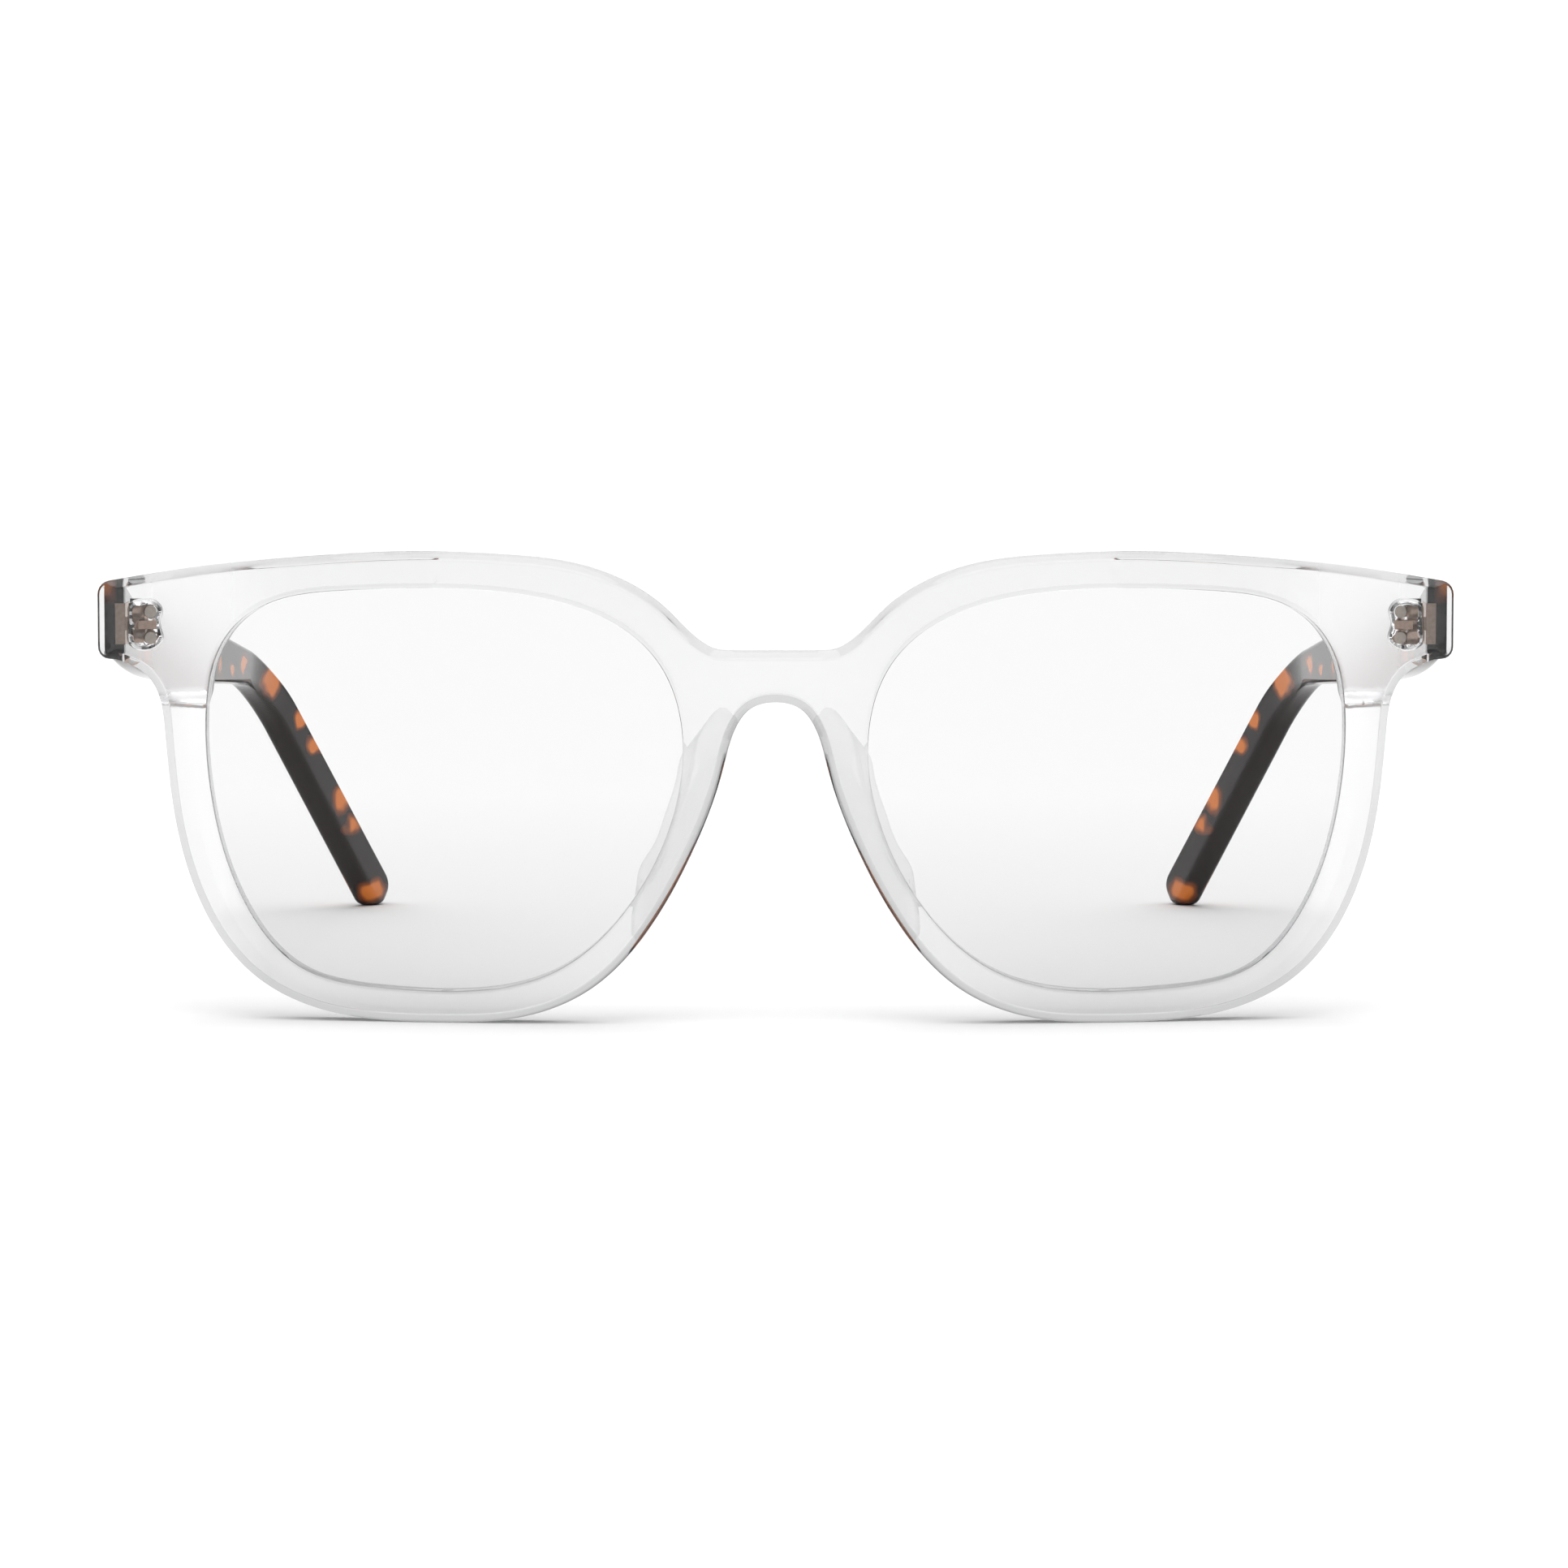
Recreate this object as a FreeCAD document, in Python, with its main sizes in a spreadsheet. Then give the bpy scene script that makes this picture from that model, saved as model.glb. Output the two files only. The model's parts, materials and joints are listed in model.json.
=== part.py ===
import FreeCAD, Part
import math
import os

import Sketcher
from FreeCAD import Placement, Rotation, Vector

# Blue light glasses: a clear moulded front with built-in nose pads, two lenses held in grooves
# and two tortoise temples on three-knuckle hinges.  Millimetres, +Z up, front towards -Y.  The glasses
# stand on both rims and both temple tips.  The wearer's left side is +X.
#
# Depths in the sheet are measured back from the front apex of the bridge.  Every sub-part is
# placed half_depth forward, so the document's origin is on the ground under the middle.

DIMENSIONS = {
    # front
    "half_width": 72.5,          # outer edge of an end piece
    "half_depth": 69.12,         # front apex of the bridge to the middle of the glasses
    "bow_radius": 300.0,         # the front is bent to this radius, seen from above
    "rim_depth": 3.8,            # thickness of the rims and the bridge, front to back
    "block_back": 12.6,          # flat rear face of the end pieces
    "taper_start": 36.0,         # where the brow begins to thicken towards an end piece
    "taper_end": 54.0,           # where it reaches the end piece's full depth
    "block_bottom": 33.4,        # foot of the end piece's block
    # lenses
    "lens_depth": 1.8,           # lens thickness
    "lens_setback": 0.9,         # rim's front face to the lens's front face
    "groove_depth": 0.55,        # how far the lens's edge sits in the rim
    "groove_gap": 0.04,
    # hinges
    "hinge_x": 68.0,
    "hinge_back": 14.3,          # depth of the hinge axis
    "hinge_height": 42.0,        # middle of the knuckles above the ground
    "knuckle_radius": 1.1,
    "knuckle_stack": 4.4,        # three knuckles together
    "knuckle_gap": 0.05,
    "screw_radius": 0.55,
    "screw_fit": 0.05,           # running clearance of the screw in the temple's knuckle
    "screw_head_radius": 0.95,
    "screw_head_height": 0.5,
    "screw_slot": 0.25,
    "leaf_depth": 0.9,           # thickness of the front leaf
    "leaf_width": 1.3,           # upright strip of the front leaf
    "anchor_radius": 0.65,       # anchor pins of the front leaf
    "anchor_length": 3.4,
    "anchor_offset": 1.4,        # pin axis above and below the middle of the hinge
    "anchor_inboard": 1.35,      # pin axis from the hinge axis
    "lug_rim": 0.2,              # wall of an anchor lug round its pin
    "leg_half": 0.6,             # half the height of a leg of the front leaf
    "leg_reach": 1.2,            # how far the legs stand past the lugs
    "root_share": 0.85,          # width of the middle knuckle's root against the knuckle
    "pocket_depth": 2.3,         # hollow in the end piece around the front leaf
    "barb_length": 3.0,
    "barb_height": 0.9,
    # temples, in a frame on the hinge axis with +Y straight back along the arm
    "toe_in": 2.66,              # degrees that an open temple leans inward
    "temple_inner": 1.42,        # hinge axis to the inner face
    "temple_thick": 3.0,
    "butt_gap": 0.1,             # temple's end face to the end piece when open
    "temple_top": 46.8,          # top of the temple's end face
    "temple_bottom": 38.2,
    "bend_back": 79.94,          # centre of the ear bend behind the hinge axis
    "bend_height": 7.65,         # and above the ground
    "bend_radius": 26.0,
    "hook_half": 2.25,           # half the hook's height
    "hook_drop": 45.0,           # degrees that the hook falls
    "tip_radius": 2.45,
    "top_slope": 7.5,            # degrees that the arm's top edge falls
    "under_slope": 3.5,          # degrees that its lower edge falls at the bend
    "turn_back": 89.7,           # where the hook turns inward
    "turn_angle": 19.1,
    "turn_radius": 40.0,
    "plate_thick": 1.1,          # temple leaf
    "plate_length": 7.6,
    "plate_gap": 0.3,            # end piece to the leaf when open
    "rivet_radius": 0.6,
    "rivet_length": 2.1,
    "rivet_first": 2.0,          # first rivet behind the hinge axis
    "rivet_pitch": 2.8,
    # steel core in each temple
    "core_start": 10.0,
    "core_thick": 0.8,
    "core_height": 2.0,
    "core_slope": 6.1,
    "core_end": 6.0,             # end of the core before the centre of the tip
}

SIDES = {"left": 1, "right": -1}
THROUGH = "200"                  # a cut this long goes right through the glasses
SLAB = "120"                     # width of a slab that a temple is cut from
BEYOND = 5.0                     # how far cutting sketches reach past the solid
LEAST_CUT = 0.05                 # a cut that removes less than this has missed

doc = FreeCAD.newDocument("blue_light_glasses")
sheet = doc.addObject("Spreadsheet::Sheet", "Dims")
for row, (alias, value) in enumerate(DIMENSIONS.items(), start=1):
    sheet.set(f"A{row}", alias)
    sheet.set(f"B{row}", str(value))
    sheet.setAlias(f"B{row}", alias)
doc.recompute()


def dim(alias):
    return float(getattr(sheet, alias))


# ---------------------------------------------------------------- document helpers

def add_body(name, place="front", side=1):
    """A body placed with the front or on a hinge, or left where the body that it cuts will hold it."""
    body = doc.addObject("PartDesign::Body", name)
    body.Label = name
    if place != "tool":
        set_place(body, place == "hinge", side)
    return body


def set_place(item, turned=False, side=1):
    """Place an item with the front, or on one side's hinge axis and turned by the toe-in."""
    if turned:
        item.Placement = Placement(Vector(0, 0, 0), Rotation(Vector(0, 0, side), dim("toe_in")))
        item.setExpression("Placement.Base.x", f"{side} * Dims.hinge_x")
        item.setExpression("Placement.Base.y", "Dims.hinge_back - Dims.half_depth")
    else:
        item.setExpression("Placement.Base.y", "-Dims.half_depth")


def add_sketch(body, name, plane, offset=None):
    """A sketch on one of the body's origin planes, moved along its normal by an expression."""
    sketch = body.newObject("Sketcher::SketchObject", name)
    base = next(item for item in body.Origin.OriginFeatures if item.Role == plane)
    sketch.AttachmentSupport = [(base, "")]
    sketch.MapMode = "FlatFace"
    if offset:
        sketch.setExpression("AttachmentOffset.Base.z", offset)
    return sketch


def draw(sketch, curves):
    """Add a closed outline and lock it."""
    first = sketch.GeometryCount
    sketch.addGeometry(curves, False)
    for index in range(first, sketch.GeometryCount):
        sketch.addConstraint(Sketcher.Constraint("Block", index))


def draw_box(sketch, low, high):
    """A rectangle between two corners given as expressions on the sheet."""
    first = sketch.GeometryCount
    corners = [Vector(0, 0, 0), Vector(1, 0, 0), Vector(1, 1, 0), Vector(0, 1, 0)]
    sketch.addGeometry([line(corners[i], corners[(i + 1) % 4]) for i in range(4)], False)
    for i in range(4):
        sketch.addConstraint(Sketcher.Constraint("Coincident", first + i, 2, first + (i + 1) % 4, 1))
    for i, kind in enumerate(["Horizontal", "Vertical", "Horizontal", "Vertical"]):
        sketch.addConstraint(Sketcher.Constraint(kind, first + i))
    places = [("DistanceX", first, low[0]), ("DistanceY", first, low[1]),
              ("DistanceX", first + 2, high[0]), ("DistanceY", first + 2, high[1])]
    for kind, edge, expression in places:
        index = sketch.addConstraint(Sketcher.Constraint(kind, -1, 1, edge, 1, 1.0))
        sketch.setExpression(f"Constraints[{index}]", expression)


def draw_circle(sketch, x, y, radius):
    """A circle whose centre and radius are expressions on the sheet."""
    circle = sketch.addGeometry(Part.Circle(Vector(1, 1, 0), Vector(0, 0, 1), 1.0), False)
    for kind, expression in (("DistanceX", x), ("DistanceY", y)):
        index = sketch.addConstraint(Sketcher.Constraint(kind, -1, 1, circle, 3, 1.0))
        sketch.setExpression(f"Constraints[{index}]", expression)
    index = sketch.addConstraint(Sketcher.Constraint("Radius", circle, 1.0))
    sketch.setExpression(f"Constraints[{index}]", radius)


def pad(body, name, sketch, length, reverse=False, midplane=False):
    feature = body.newObject("PartDesign::Pad", name)
    feature.Profile = sketch
    feature.setExpression("Length", length)
    feature.Reversed = reverse
    feature.Midplane = midplane
    doc.recompute()
    return feature


def require_cut(name, base, tool_shape, feature):
    """Stop if a cut took no volume away and its tool doesn't meet the solid either."""
    taken = base.Shape.Volume - feature.Shape.Volume
    if taken < LEAST_CUT and base.Shape.common(tool_shape).Volume < LEAST_CUT:
        raise RuntimeError(f"{name} cuts nothing")


def pocket(body, name, sketch, length, reverse=False, midplane=False):
    """Cut a sketch out of the body, and stop if the cut meets nothing."""
    base = body.Tip
    feature = body.newObject("PartDesign::Pocket", name)
    feature.Profile = sketch
    feature.setExpression("Length", length)
    feature.Reversed = reverse
    feature.Midplane = midplane
    doc.recompute()
    require_cut(name, base, feature.AddSubShape, feature)
    return feature


def carve(body, name, tool):
    """Cut a whole tool body out of a body, and stop if the two don't meet."""
    base, tool_shape = body.Tip, tool.Tip.Shape.copy()
    feature = body.newObject("PartDesign::Boolean", name)
    feature.Type = "Cut"
    feature.setObjects([tool])
    doc.recompute()
    require_cut(name, base, tool_shape, feature)
    return feature


# ---------------------------------------------------------------- curve helpers

def flat(points):
    return [Vector(x, y, 0) for x, y in points]


def line(start, end):
    return Part.LineSegment(start, end)


def smooth(points, start, end):
    """A curve through points that starts and ends in the given unit directions."""
    curve = Part.BSplineCurve()
    last = len(points) - 1
    aims = [Vector(*start, 0)] + [Vector(1, 0, 0)] * (last - 1) + [Vector(*end, 0)]
    held = [index in (0, last) for index in range(last + 1)]
    curve.interpolate(Points=flat(points), Tangents=aims, TangentFlags=held, Scale=False)
    return curve


def loop(points):
    """A closed smooth curve through points."""
    curve = Part.BSplineCurve()
    curve.interpolate(Points=flat(points), PeriodicFlag=True)
    return curve


def polar(centre, radius, degrees):
    """The point at an angle from straight up, turning towards +x."""
    turn = math.radians(degrees)
    return Vector(centre[0] + radius * math.sin(turn), centre[1] + radius * math.cos(turn), 0)


def arc(centre, radius, start, end):
    """A circular arc between two angles from straight up."""
    return Part.Arc(polar(centre, radius, start), polar(centre, radius, (start + end) / 2),
                    polar(centre, radius, end))


def mirrored(points):
    return [(-x, z) for x, z in reversed(points)]


def bow_depth(x, setback=0.0):
    """Depth of a surface that lies setback behind the bowed front face."""
    radius = dim("bow_radius")
    return radius - math.sqrt((radius - setback) ** 2 - x ** 2)


# ---------------------------------------------------------------- front outline

BRIDGE_TOP = 39.6
BRIDGE_FLAT = 5.4                # half the straight top edge of the bridge
CORNER = 1.3                     # size of the end piece's rounded outer corners
OUTER_TOP = 46.75
OUTER_BOTTOM = 38.35

# From the bridge along the brow to the outer corner.
BROW = [(BRIDGE_FLAT, BRIDGE_TOP), (8.3, 40.9), (11.6, 44.1), (15.4, 46.7), (21.0, 48.75), (28.0, 49.65),
        (38.0, 50.0), (50.0, 49.4), (62.0, 48.2), (DIMENSIONS["half_width"] - CORNER, OUTER_TOP)]

# From the lower outer corner down the rim, round under the lens and up beside the nose.
UNDERSIDE = [(DIMENSIONS["half_width"] - CORNER, OUTER_BOTTOM), (69.6, 37.95), (67.4, 36.8),
             (66.1, 35.0), (65.3, 31.0), (64.4, 22.5), (61.3, 12.0), (55.6, 4.6), (47.0, 0.8), (36.0, 0.0),
             (27.0, 0.6), (19.5, 3.7), (13.1, 10.5), (8.4, 19.1), (5.6, 26.8), (4.3, 31.2), (2.5, 33.5),
             (0.0, 34.1)]

# Lens opening, clockwise from the brow.
APERTURE = [(34.7, 46.1), (24.5, 45.1), (17.5, 42.75), (12.4, 38.4), (9.9, 31.5), (10.9, 21.8), (15.2, 13.0),
            (23.3, 5.6), (33.0, 3.4), (41.0, 3.6), (50.5, 5.7), (56.7, 12.8), (60.2, 24.5), (60.6, 33.5),
            (59.5, 38.9), (57.2, 42.3), (53.6, 44.5), (45.5, 45.85)]

# Nose pad, seen from the front: its foot on the rim and its crest nearest the face.
PAD_FOOT = [(4.9, 31.3), (6.2, 26.5), (8.9, 19.5), (12.2, 13.0), (14.9, 9.6), (15.2, 11.0), (12.8, 16.0),
            (10.6, 21.5), (8.9, 27.0), (7.6, 31.6), (6.0, 32.8)]
PAD_CREST = [(8.4, 27.6), (9.2, 24.5), (11.0, 19.6), (13.1, 15.6), (14.6, 14.0), (14.8, 15.2), (13.4, 18.2),
             (11.9, 22.0), (10.7, 26.0), (9.8, 28.4), (8.9, 28.8)]
PAD_FOOT_BACK = 3.2
PAD_REACH = 6.2                  # foot to crest, front to back

# Melted edge of the hollow around the front leaf, relative to the hinge axis.
POCKET_EDGE = [(1.2, 0.4), (0.95, 2.3), (-0.3, 2.75), (-1.9, 2.6), (-2.7, 1.5), (-2.45, 0.1),
               (-2.75, -1.6), (-1.7, -2.65), (0.2, -2.75), (1.0, -2.3)]
MARK_PLACE = (65.5, 38.9)        # ejector mark on the end piece's rear face
MARK_RADIUS = 1.5
MARK_DEPTH = 0.15
LENS_POINTS = 41                 # points round the grown lens outline


def front_outline():
    """The closed outline of the front, both halves."""
    edge = dim("half_width")
    brow_end, under_start = (0.986, -0.167), (-0.995, -0.1)
    halves = []
    for side in (1, -1):
        def at(x, z):
            return Vector(side * x, z, 0)

        def flip(points):
            return [(side * x, z) for x, z in points]

        def aim(direction):
            return (side * direction[0], direction[1])

        halves += [
            smooth(flip(BROW), aim((1.0, 0.0)), aim(brow_end)),
            Part.Arc(at(*BROW[-1]), at(edge - 0.28 * CORNER, OUTER_TOP - 0.4 * CORNER),
                     at(edge, OUTER_TOP - 1.25 * CORNER)),
            line(at(edge, OUTER_TOP - 1.25 * CORNER), at(edge, OUTER_BOTTOM + CORNER)),
            Part.Arc(at(edge, OUTER_BOTTOM + CORNER), at(edge - 0.28 * CORNER, OUTER_BOTTOM + 0.3 * CORNER),
                     at(*UNDERSIDE[0])),
            smooth(flip(UNDERSIDE), aim(under_start), aim((-1.0, 0.0))),
        ]
    bridge = line(Vector(-BRIDGE_FLAT, BRIDGE_TOP, 0), Vector(BRIDGE_FLAT, BRIDGE_TOP, 0))
    return [bridge] + halves


def bow_section(half_span, setback, depth):
    """Region seen from above between a bowed surface and a straight line at a depth."""
    ends = bow_depth(half_span, setback)
    left, right = Vector(-half_span, ends, 0), Vector(half_span, ends, 0)
    top = Vector(0, bow_depth(0, setback), 0)
    low_left, low_right = Vector(-half_span, depth, 0), Vector(half_span, depth, 0)
    return [Part.Arc(left, top, right), line(right, low_right), line(low_right, low_left), line(low_left, left)]


def lens_blank(name, place, side, grow, setback, thickness):
    """The lens opening grown by a margin, between two bowed faces."""
    body = add_body(name, place)
    outline = add_sketch(body, f"{name}_outline", "XZ_Plane")
    rim = Part.Wire([loop(APERTURE).toShape()]).makeOffset2D(grow)
    draw(outline, [loop([(side * p.x, p.y) for p in rim.discretize(LENS_POINTS)[:-1]])])
    pad(body, f"{name}_slab", outline, "Dims.block_back", reverse=True)
    reach = dim("half_width") + BEYOND
    behind = dim("block_back") + BEYOND
    for part, section in (("front", bow_section(reach, setback, -BEYOND)),
                          ("back", bow_section(reach, setback + thickness, behind))):
        sketch = add_sketch(body, f"{name}_{part}_bow", "XY_Plane")
        draw(sketch, section)
        pocket(body, f"{name}_{part}_face", sketch, THROUGH, midplane=True)
    return body


def lens(side_name, side):
    """A thin bowed lens whose edge sits in the rim's groove."""
    grow = dim("groove_depth") - dim("groove_gap")
    return lens_blank(f"lens_{side_name}", "front", side, grow, dim("lens_setback"), dim("lens_depth"))


def lens_seat(side_name, side):
    """The groove in the rim, a little larger than the lens all round."""
    gap = dim("groove_gap")
    return lens_blank(f"lens_seat_{side_name}", "tool", side, dim("groove_depth"),
                      dim("lens_setback") - gap, dim("lens_depth") + 2 * gap)


def rear_void():
    """The space behind the rims, the bridge and the thin middle of the brow."""
    body = add_body("rear_void", "tool")
    reach, start, foot = dim("half_width") + BEYOND, dim("taper_start"), dim("block_bottom")
    top = OUTER_TOP + 2 * BEYOND
    half = [(reach, -BEYOND), (reach, foot), (start, foot), (start, top)]
    corners = flat(half + mirrored(half))
    outline = add_sketch(body, "rear_void_outline", "XZ_Plane")
    draw(outline, [line(a, b) for a, b in zip(corners, corners[1:] + corners[:1])])
    pad(body, "rear_void_block", outline, "Dims.block_back * 2", reverse=True)
    bow = add_sketch(body, "rear_void_bow", "XY_Plane")
    draw(bow, bow_section(reach + BEYOND, dim("rim_depth"), -BEYOND))
    pocket(body, "rear_void_face", bow, THROUGH, midplane=True)
    return body


def front_frame():
    """One-piece clear front: rims, bridge, end pieces and nose pads."""
    body = add_body("front_frame")
    reach = dim("half_width") + BEYOND

    outline = add_sketch(body, "front_outline", "XZ_Plane")
    draw(outline, front_outline())
    pad(body, "front_slab", outline, "Dims.block_back", reverse=True)

    # The rear of the rims follows the bow; the brow thickens towards the end pieces.
    carve(body, "rear_cut", rear_void())
    taper = add_sketch(body, "brow_taper", "XY_Plane")
    start, end, back = dim("taper_start"), dim("taper_end"), dim("block_back")
    for side in SIDES.values():
        thin = bow_depth(start, dim("rim_depth"))
        corners = flat([(side * start, thin), (side * end, back), (side * end, back + BEYOND),
                        (side * start, back + BEYOND)])
        draw(taper, [line(a, b) for a, b in zip(corners, corners[1:] + corners[:1])])
    pocket(body, "brow_taper_cut", taper, THROUGH, midplane=True)

    for side_name, side in SIDES.items():
        sections = []
        for part, points, depth in (("foot", PAD_FOOT, PAD_FOOT_BACK),
                                    ("crest", PAD_CREST, PAD_FOOT_BACK + PAD_REACH)):
            sketch = add_sketch(body, f"pad_{part}_{side_name}", "XZ_Plane", str(-depth))
            draw(sketch, [loop([(side * x, z) for x, z in points])])
            sections.append(sketch)
        loft = body.newObject("PartDesign::AdditiveLoft", f"nose_pad_{side_name}")
        loft.Profile = sections[0]
        loft.Sections = sections[1:]
        doc.recompute()

    face = add_sketch(body, "front_bow", "XY_Plane")
    draw(face, bow_section(reach, 0.0, -BEYOND))
    pocket(body, "front_bow_cut", face, THROUGH, midplane=True)

    openings = add_sketch(body, "lens_openings", "XZ_Plane")
    draw(openings, [loop([(side * x, z) for x, z in APERTURE]) for side in SIDES.values()])
    pocket(body, "lens_opening_cut", openings, "Dims.block_back * 3", midplane=True)

    for side_name, side in SIDES.items():
        carve(body, f"lens_groove_{side_name}", lens_seat(side_name, side))
        hinge_seat(body, side_name, side)
    return body


def hinge_seat(body, side_name, side):
    """The hollow behind an end piece, its anchor and barb holes, and the ejector mark."""
    centre_x, centre_z = dim("hinge_x"), dim("hinge_height")
    hollow = add_sketch(body, f"hinge_hollow_{side_name}", "XZ_Plane", "-Dims.block_back")
    draw(hollow, [loop([(side * (centre_x + x), centre_z + z) for x, z in POCKET_EDGE])])
    pocket(body, f"hinge_hollow_cut_{side_name}", hollow, "Dims.pocket_depth", reverse=True)
    holes = add_sketch(body, f"anchor_holes_{side_name}", "XZ_Plane", "-Dims.block_back")
    for way in ("+", "-"):
        draw_circle(holes, f"{side} * (Dims.hinge_x - Dims.anchor_inboard)",
                    f"Dims.hinge_height {way} Dims.anchor_offset", "Dims.anchor_radius")
    pocket(body, f"anchor_hole_cut_{side_name}", holes, "Dims.anchor_length", reverse=True)
    slit = add_sketch(body, f"barb_slit_{side_name}", "XZ_Plane", "-Dims.block_back")
    draw_box(slit, *barb_corners(side, f"{side} * Dims.hinge_x"))
    pocket(body, f"barb_slit_cut_{side_name}", slit, "Dims.barb_length", reverse=True)
    mark = add_sketch(body, f"ejector_mark_{side_name}", "XZ_Plane", "-Dims.block_back")
    draw_circle(mark, f"{side * MARK_PLACE[0]}", f"{MARK_PLACE[1]}", f"{MARK_RADIUS}")
    pocket(body, f"ejector_mark_cut_{side_name}", mark, f"{MARK_DEPTH}", reverse=True)


def barb_corners(side, hinge):
    """Corners of the barb and of its slit, seen from the front, as expressions."""
    tip = f"{hinge} - {side} * (Dims.anchor_inboard + Dims.anchor_radius)"
    ends = (tip, hinge) if side > 0 else (hinge, tip)
    return ((ends[0], "Dims.hinge_height - Dims.barb_height / 2"),
            (ends[1], "Dims.hinge_height + Dims.barb_height / 2"))


# ---------------------------------------------------------------- hinges

def knuckle(body, name, low, high, width_to):
    """A round knuckle on the hinge axis with a square root that reaches to a plate."""
    sketch = add_sketch(body, name, "XY_Plane", low)
    draw_circle(sketch, "0", "0", "Dims.knuckle_radius")
    pad(body, f"{name}_barrel", sketch, f"{high} - ({low})")
    root = add_sketch(body, f"{name}_root", "XY_Plane", low)
    draw_box(root, *width_to)
    pad(body, f"{name}_root_pad", root, f"{high} - ({low})")


def knuckle_limits(index):
    """Expressions for the bottom and top of knuckle 0, 1 or 2."""
    foot = "Dims.hinge_height - Dims.knuckle_stack / 2"
    third = "Dims.knuckle_stack / 3"
    low_gap = "Dims.knuckle_gap / 2" if index else "0"
    high_gap = "Dims.knuckle_gap / 2" if index < 2 else "0"
    return f"{foot} + {index} * {third} + {low_gap}", f"{foot} + {index + 1} * {third} - {high_gap}"


def pin_hole(body, name, radius):
    """The hole for the hinge screw, right through."""
    sketch = add_sketch(body, name, "XY_Plane")
    draw_circle(sketch, "0", "0", radius)
    pocket(body, f"{name}_cut", sketch, THROUGH, midplane=True)


def front_hinge(side_name, side):
    """Front leaf: two knuckles, an upright strip, two anchor lugs, two legs and a ridged barb."""
    body = add_body(f"front_hinge_{side_name}", "front")
    body.setExpression("Placement.Base.x", f"{side} * Dims.hinge_x")
    body.setExpression("Placement.Base.y", "Dims.hinge_back - Dims.half_depth")
    half, rear = "Dims.leaf_width / 2", "-(Dims.hinge_back - Dims.block_back)"
    for index in (0, 2):
        low, high = knuckle_limits(index)
        knuckle(body, f"front_knuckle_{index}_{side_name}", low, high,
                ((f"-{half}", f"{rear} - Dims.lug_rim"), (half, "0")))
        if index == 0:
            strip = add_sketch(body, f"leaf_strip_{side_name}", "XZ_Plane", "Dims.hinge_back - Dims.block_back")
            draw_box(strip, (f"-{half}", "Dims.hinge_height - Dims.knuckle_stack / 2"),
                     (half, "Dims.hinge_height + Dims.knuckle_stack / 2"))
            pad(body, f"leaf_strip_pad_{side_name}", strip, "Dims.leaf_depth")
    inner = f"{-side} * Dims.anchor_inboard"
    for name, way in (("upper", "+"), ("lower", "-")):
        lug = add_sketch(body, f"lug_{name}_{side_name}", "XZ_Plane", "Dims.hinge_back - Dims.block_back")
        height = f"Dims.hinge_height {way} Dims.anchor_offset"
        draw_circle(lug, inner, height, "Dims.anchor_radius + Dims.lug_rim")
        pad(body, f"lug_pad_{name}_{side_name}", lug, "Dims.leaf_depth")
        leg = add_sketch(body, f"leg_{name}_{side_name}", "XZ_Plane", "Dims.hinge_back - Dims.block_back")
        draw_box(leg, (f"-{half} + Dims.knuckle_gap", f"{height} - Dims.leg_half"),
                       (f"{half} - Dims.knuckle_gap", f"{height} + Dims.leg_half"))
        pad(body, f"leg_pad_{name}_{side_name}", leg, "Dims.leaf_depth + Dims.leg_reach")
    barb = add_sketch(body, f"barb_{side_name}", "XZ_Plane", "Dims.hinge_back - Dims.block_back")
    draw_box(barb, *barb_corners(side, "0"))
    pad(body, f"barb_pad_{side_name}", barb, "Dims.barb_length")
    holes = add_sketch(body, f"lug_holes_{side_name}", "XZ_Plane")
    for way in ("+", "-"):
        draw_circle(holes, inner, f"Dims.hinge_height {way} Dims.anchor_offset", "Dims.anchor_radius")
    pocket(body, f"lug_hole_cut_{side_name}", holes, THROUGH, midplane=True)
    pin_hole(body, f"front_bore_{side_name}", "Dims.screw_radius")
    return body


def temple_hinge(side_name, side):
    """Temple leaf: the middle knuckle on a plate that lies flush in the temple's inner face."""
    body = add_body(f"temple_hinge_{side_name}", "hinge", side)
    low, high = knuckle_limits(1)
    edge = side * (dim("temple_inner") + dim("plate_thick") / 2)
    ends = sorted((0.0, edge))
    knuckle(body, f"middle_knuckle_{side_name}", low, high,
            ((f"{ends[0]}", "-Dims.knuckle_radius * Dims.root_share"),
             (f"{ends[1]}", "Dims.knuckle_radius * Dims.root_share")))
    plate = add_sketch(body, f"plate_{side_name}", "YZ_Plane", f"{side} * Dims.temple_inner")
    draw_box(plate, ("-(Dims.hinge_back - Dims.block_back) + Dims.plate_gap",
                     "Dims.hinge_height - Dims.knuckle_stack / 2"),
             ("-(Dims.hinge_back - Dims.block_back) + Dims.plate_gap + Dims.plate_length",
              "Dims.hinge_height + Dims.knuckle_stack / 2"))
    pad(body, f"plate_pad_{side_name}", plate, "Dims.plate_thick", reverse=side < 0)
    holes = add_sketch(body, f"rivet_holes_{side_name}", "YZ_Plane")
    for index in range(2):
        draw_circle(holes, f"Dims.rivet_first + {index} * Dims.rivet_pitch", "Dims.hinge_height",
                    "Dims.rivet_radius")
    pocket(body, f"rivet_hole_cut_{side_name}", holes, THROUGH, midplane=True)
    pin_hole(body, f"middle_bore_{side_name}", "Dims.screw_radius + Dims.screw_fit")
    return body


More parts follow.
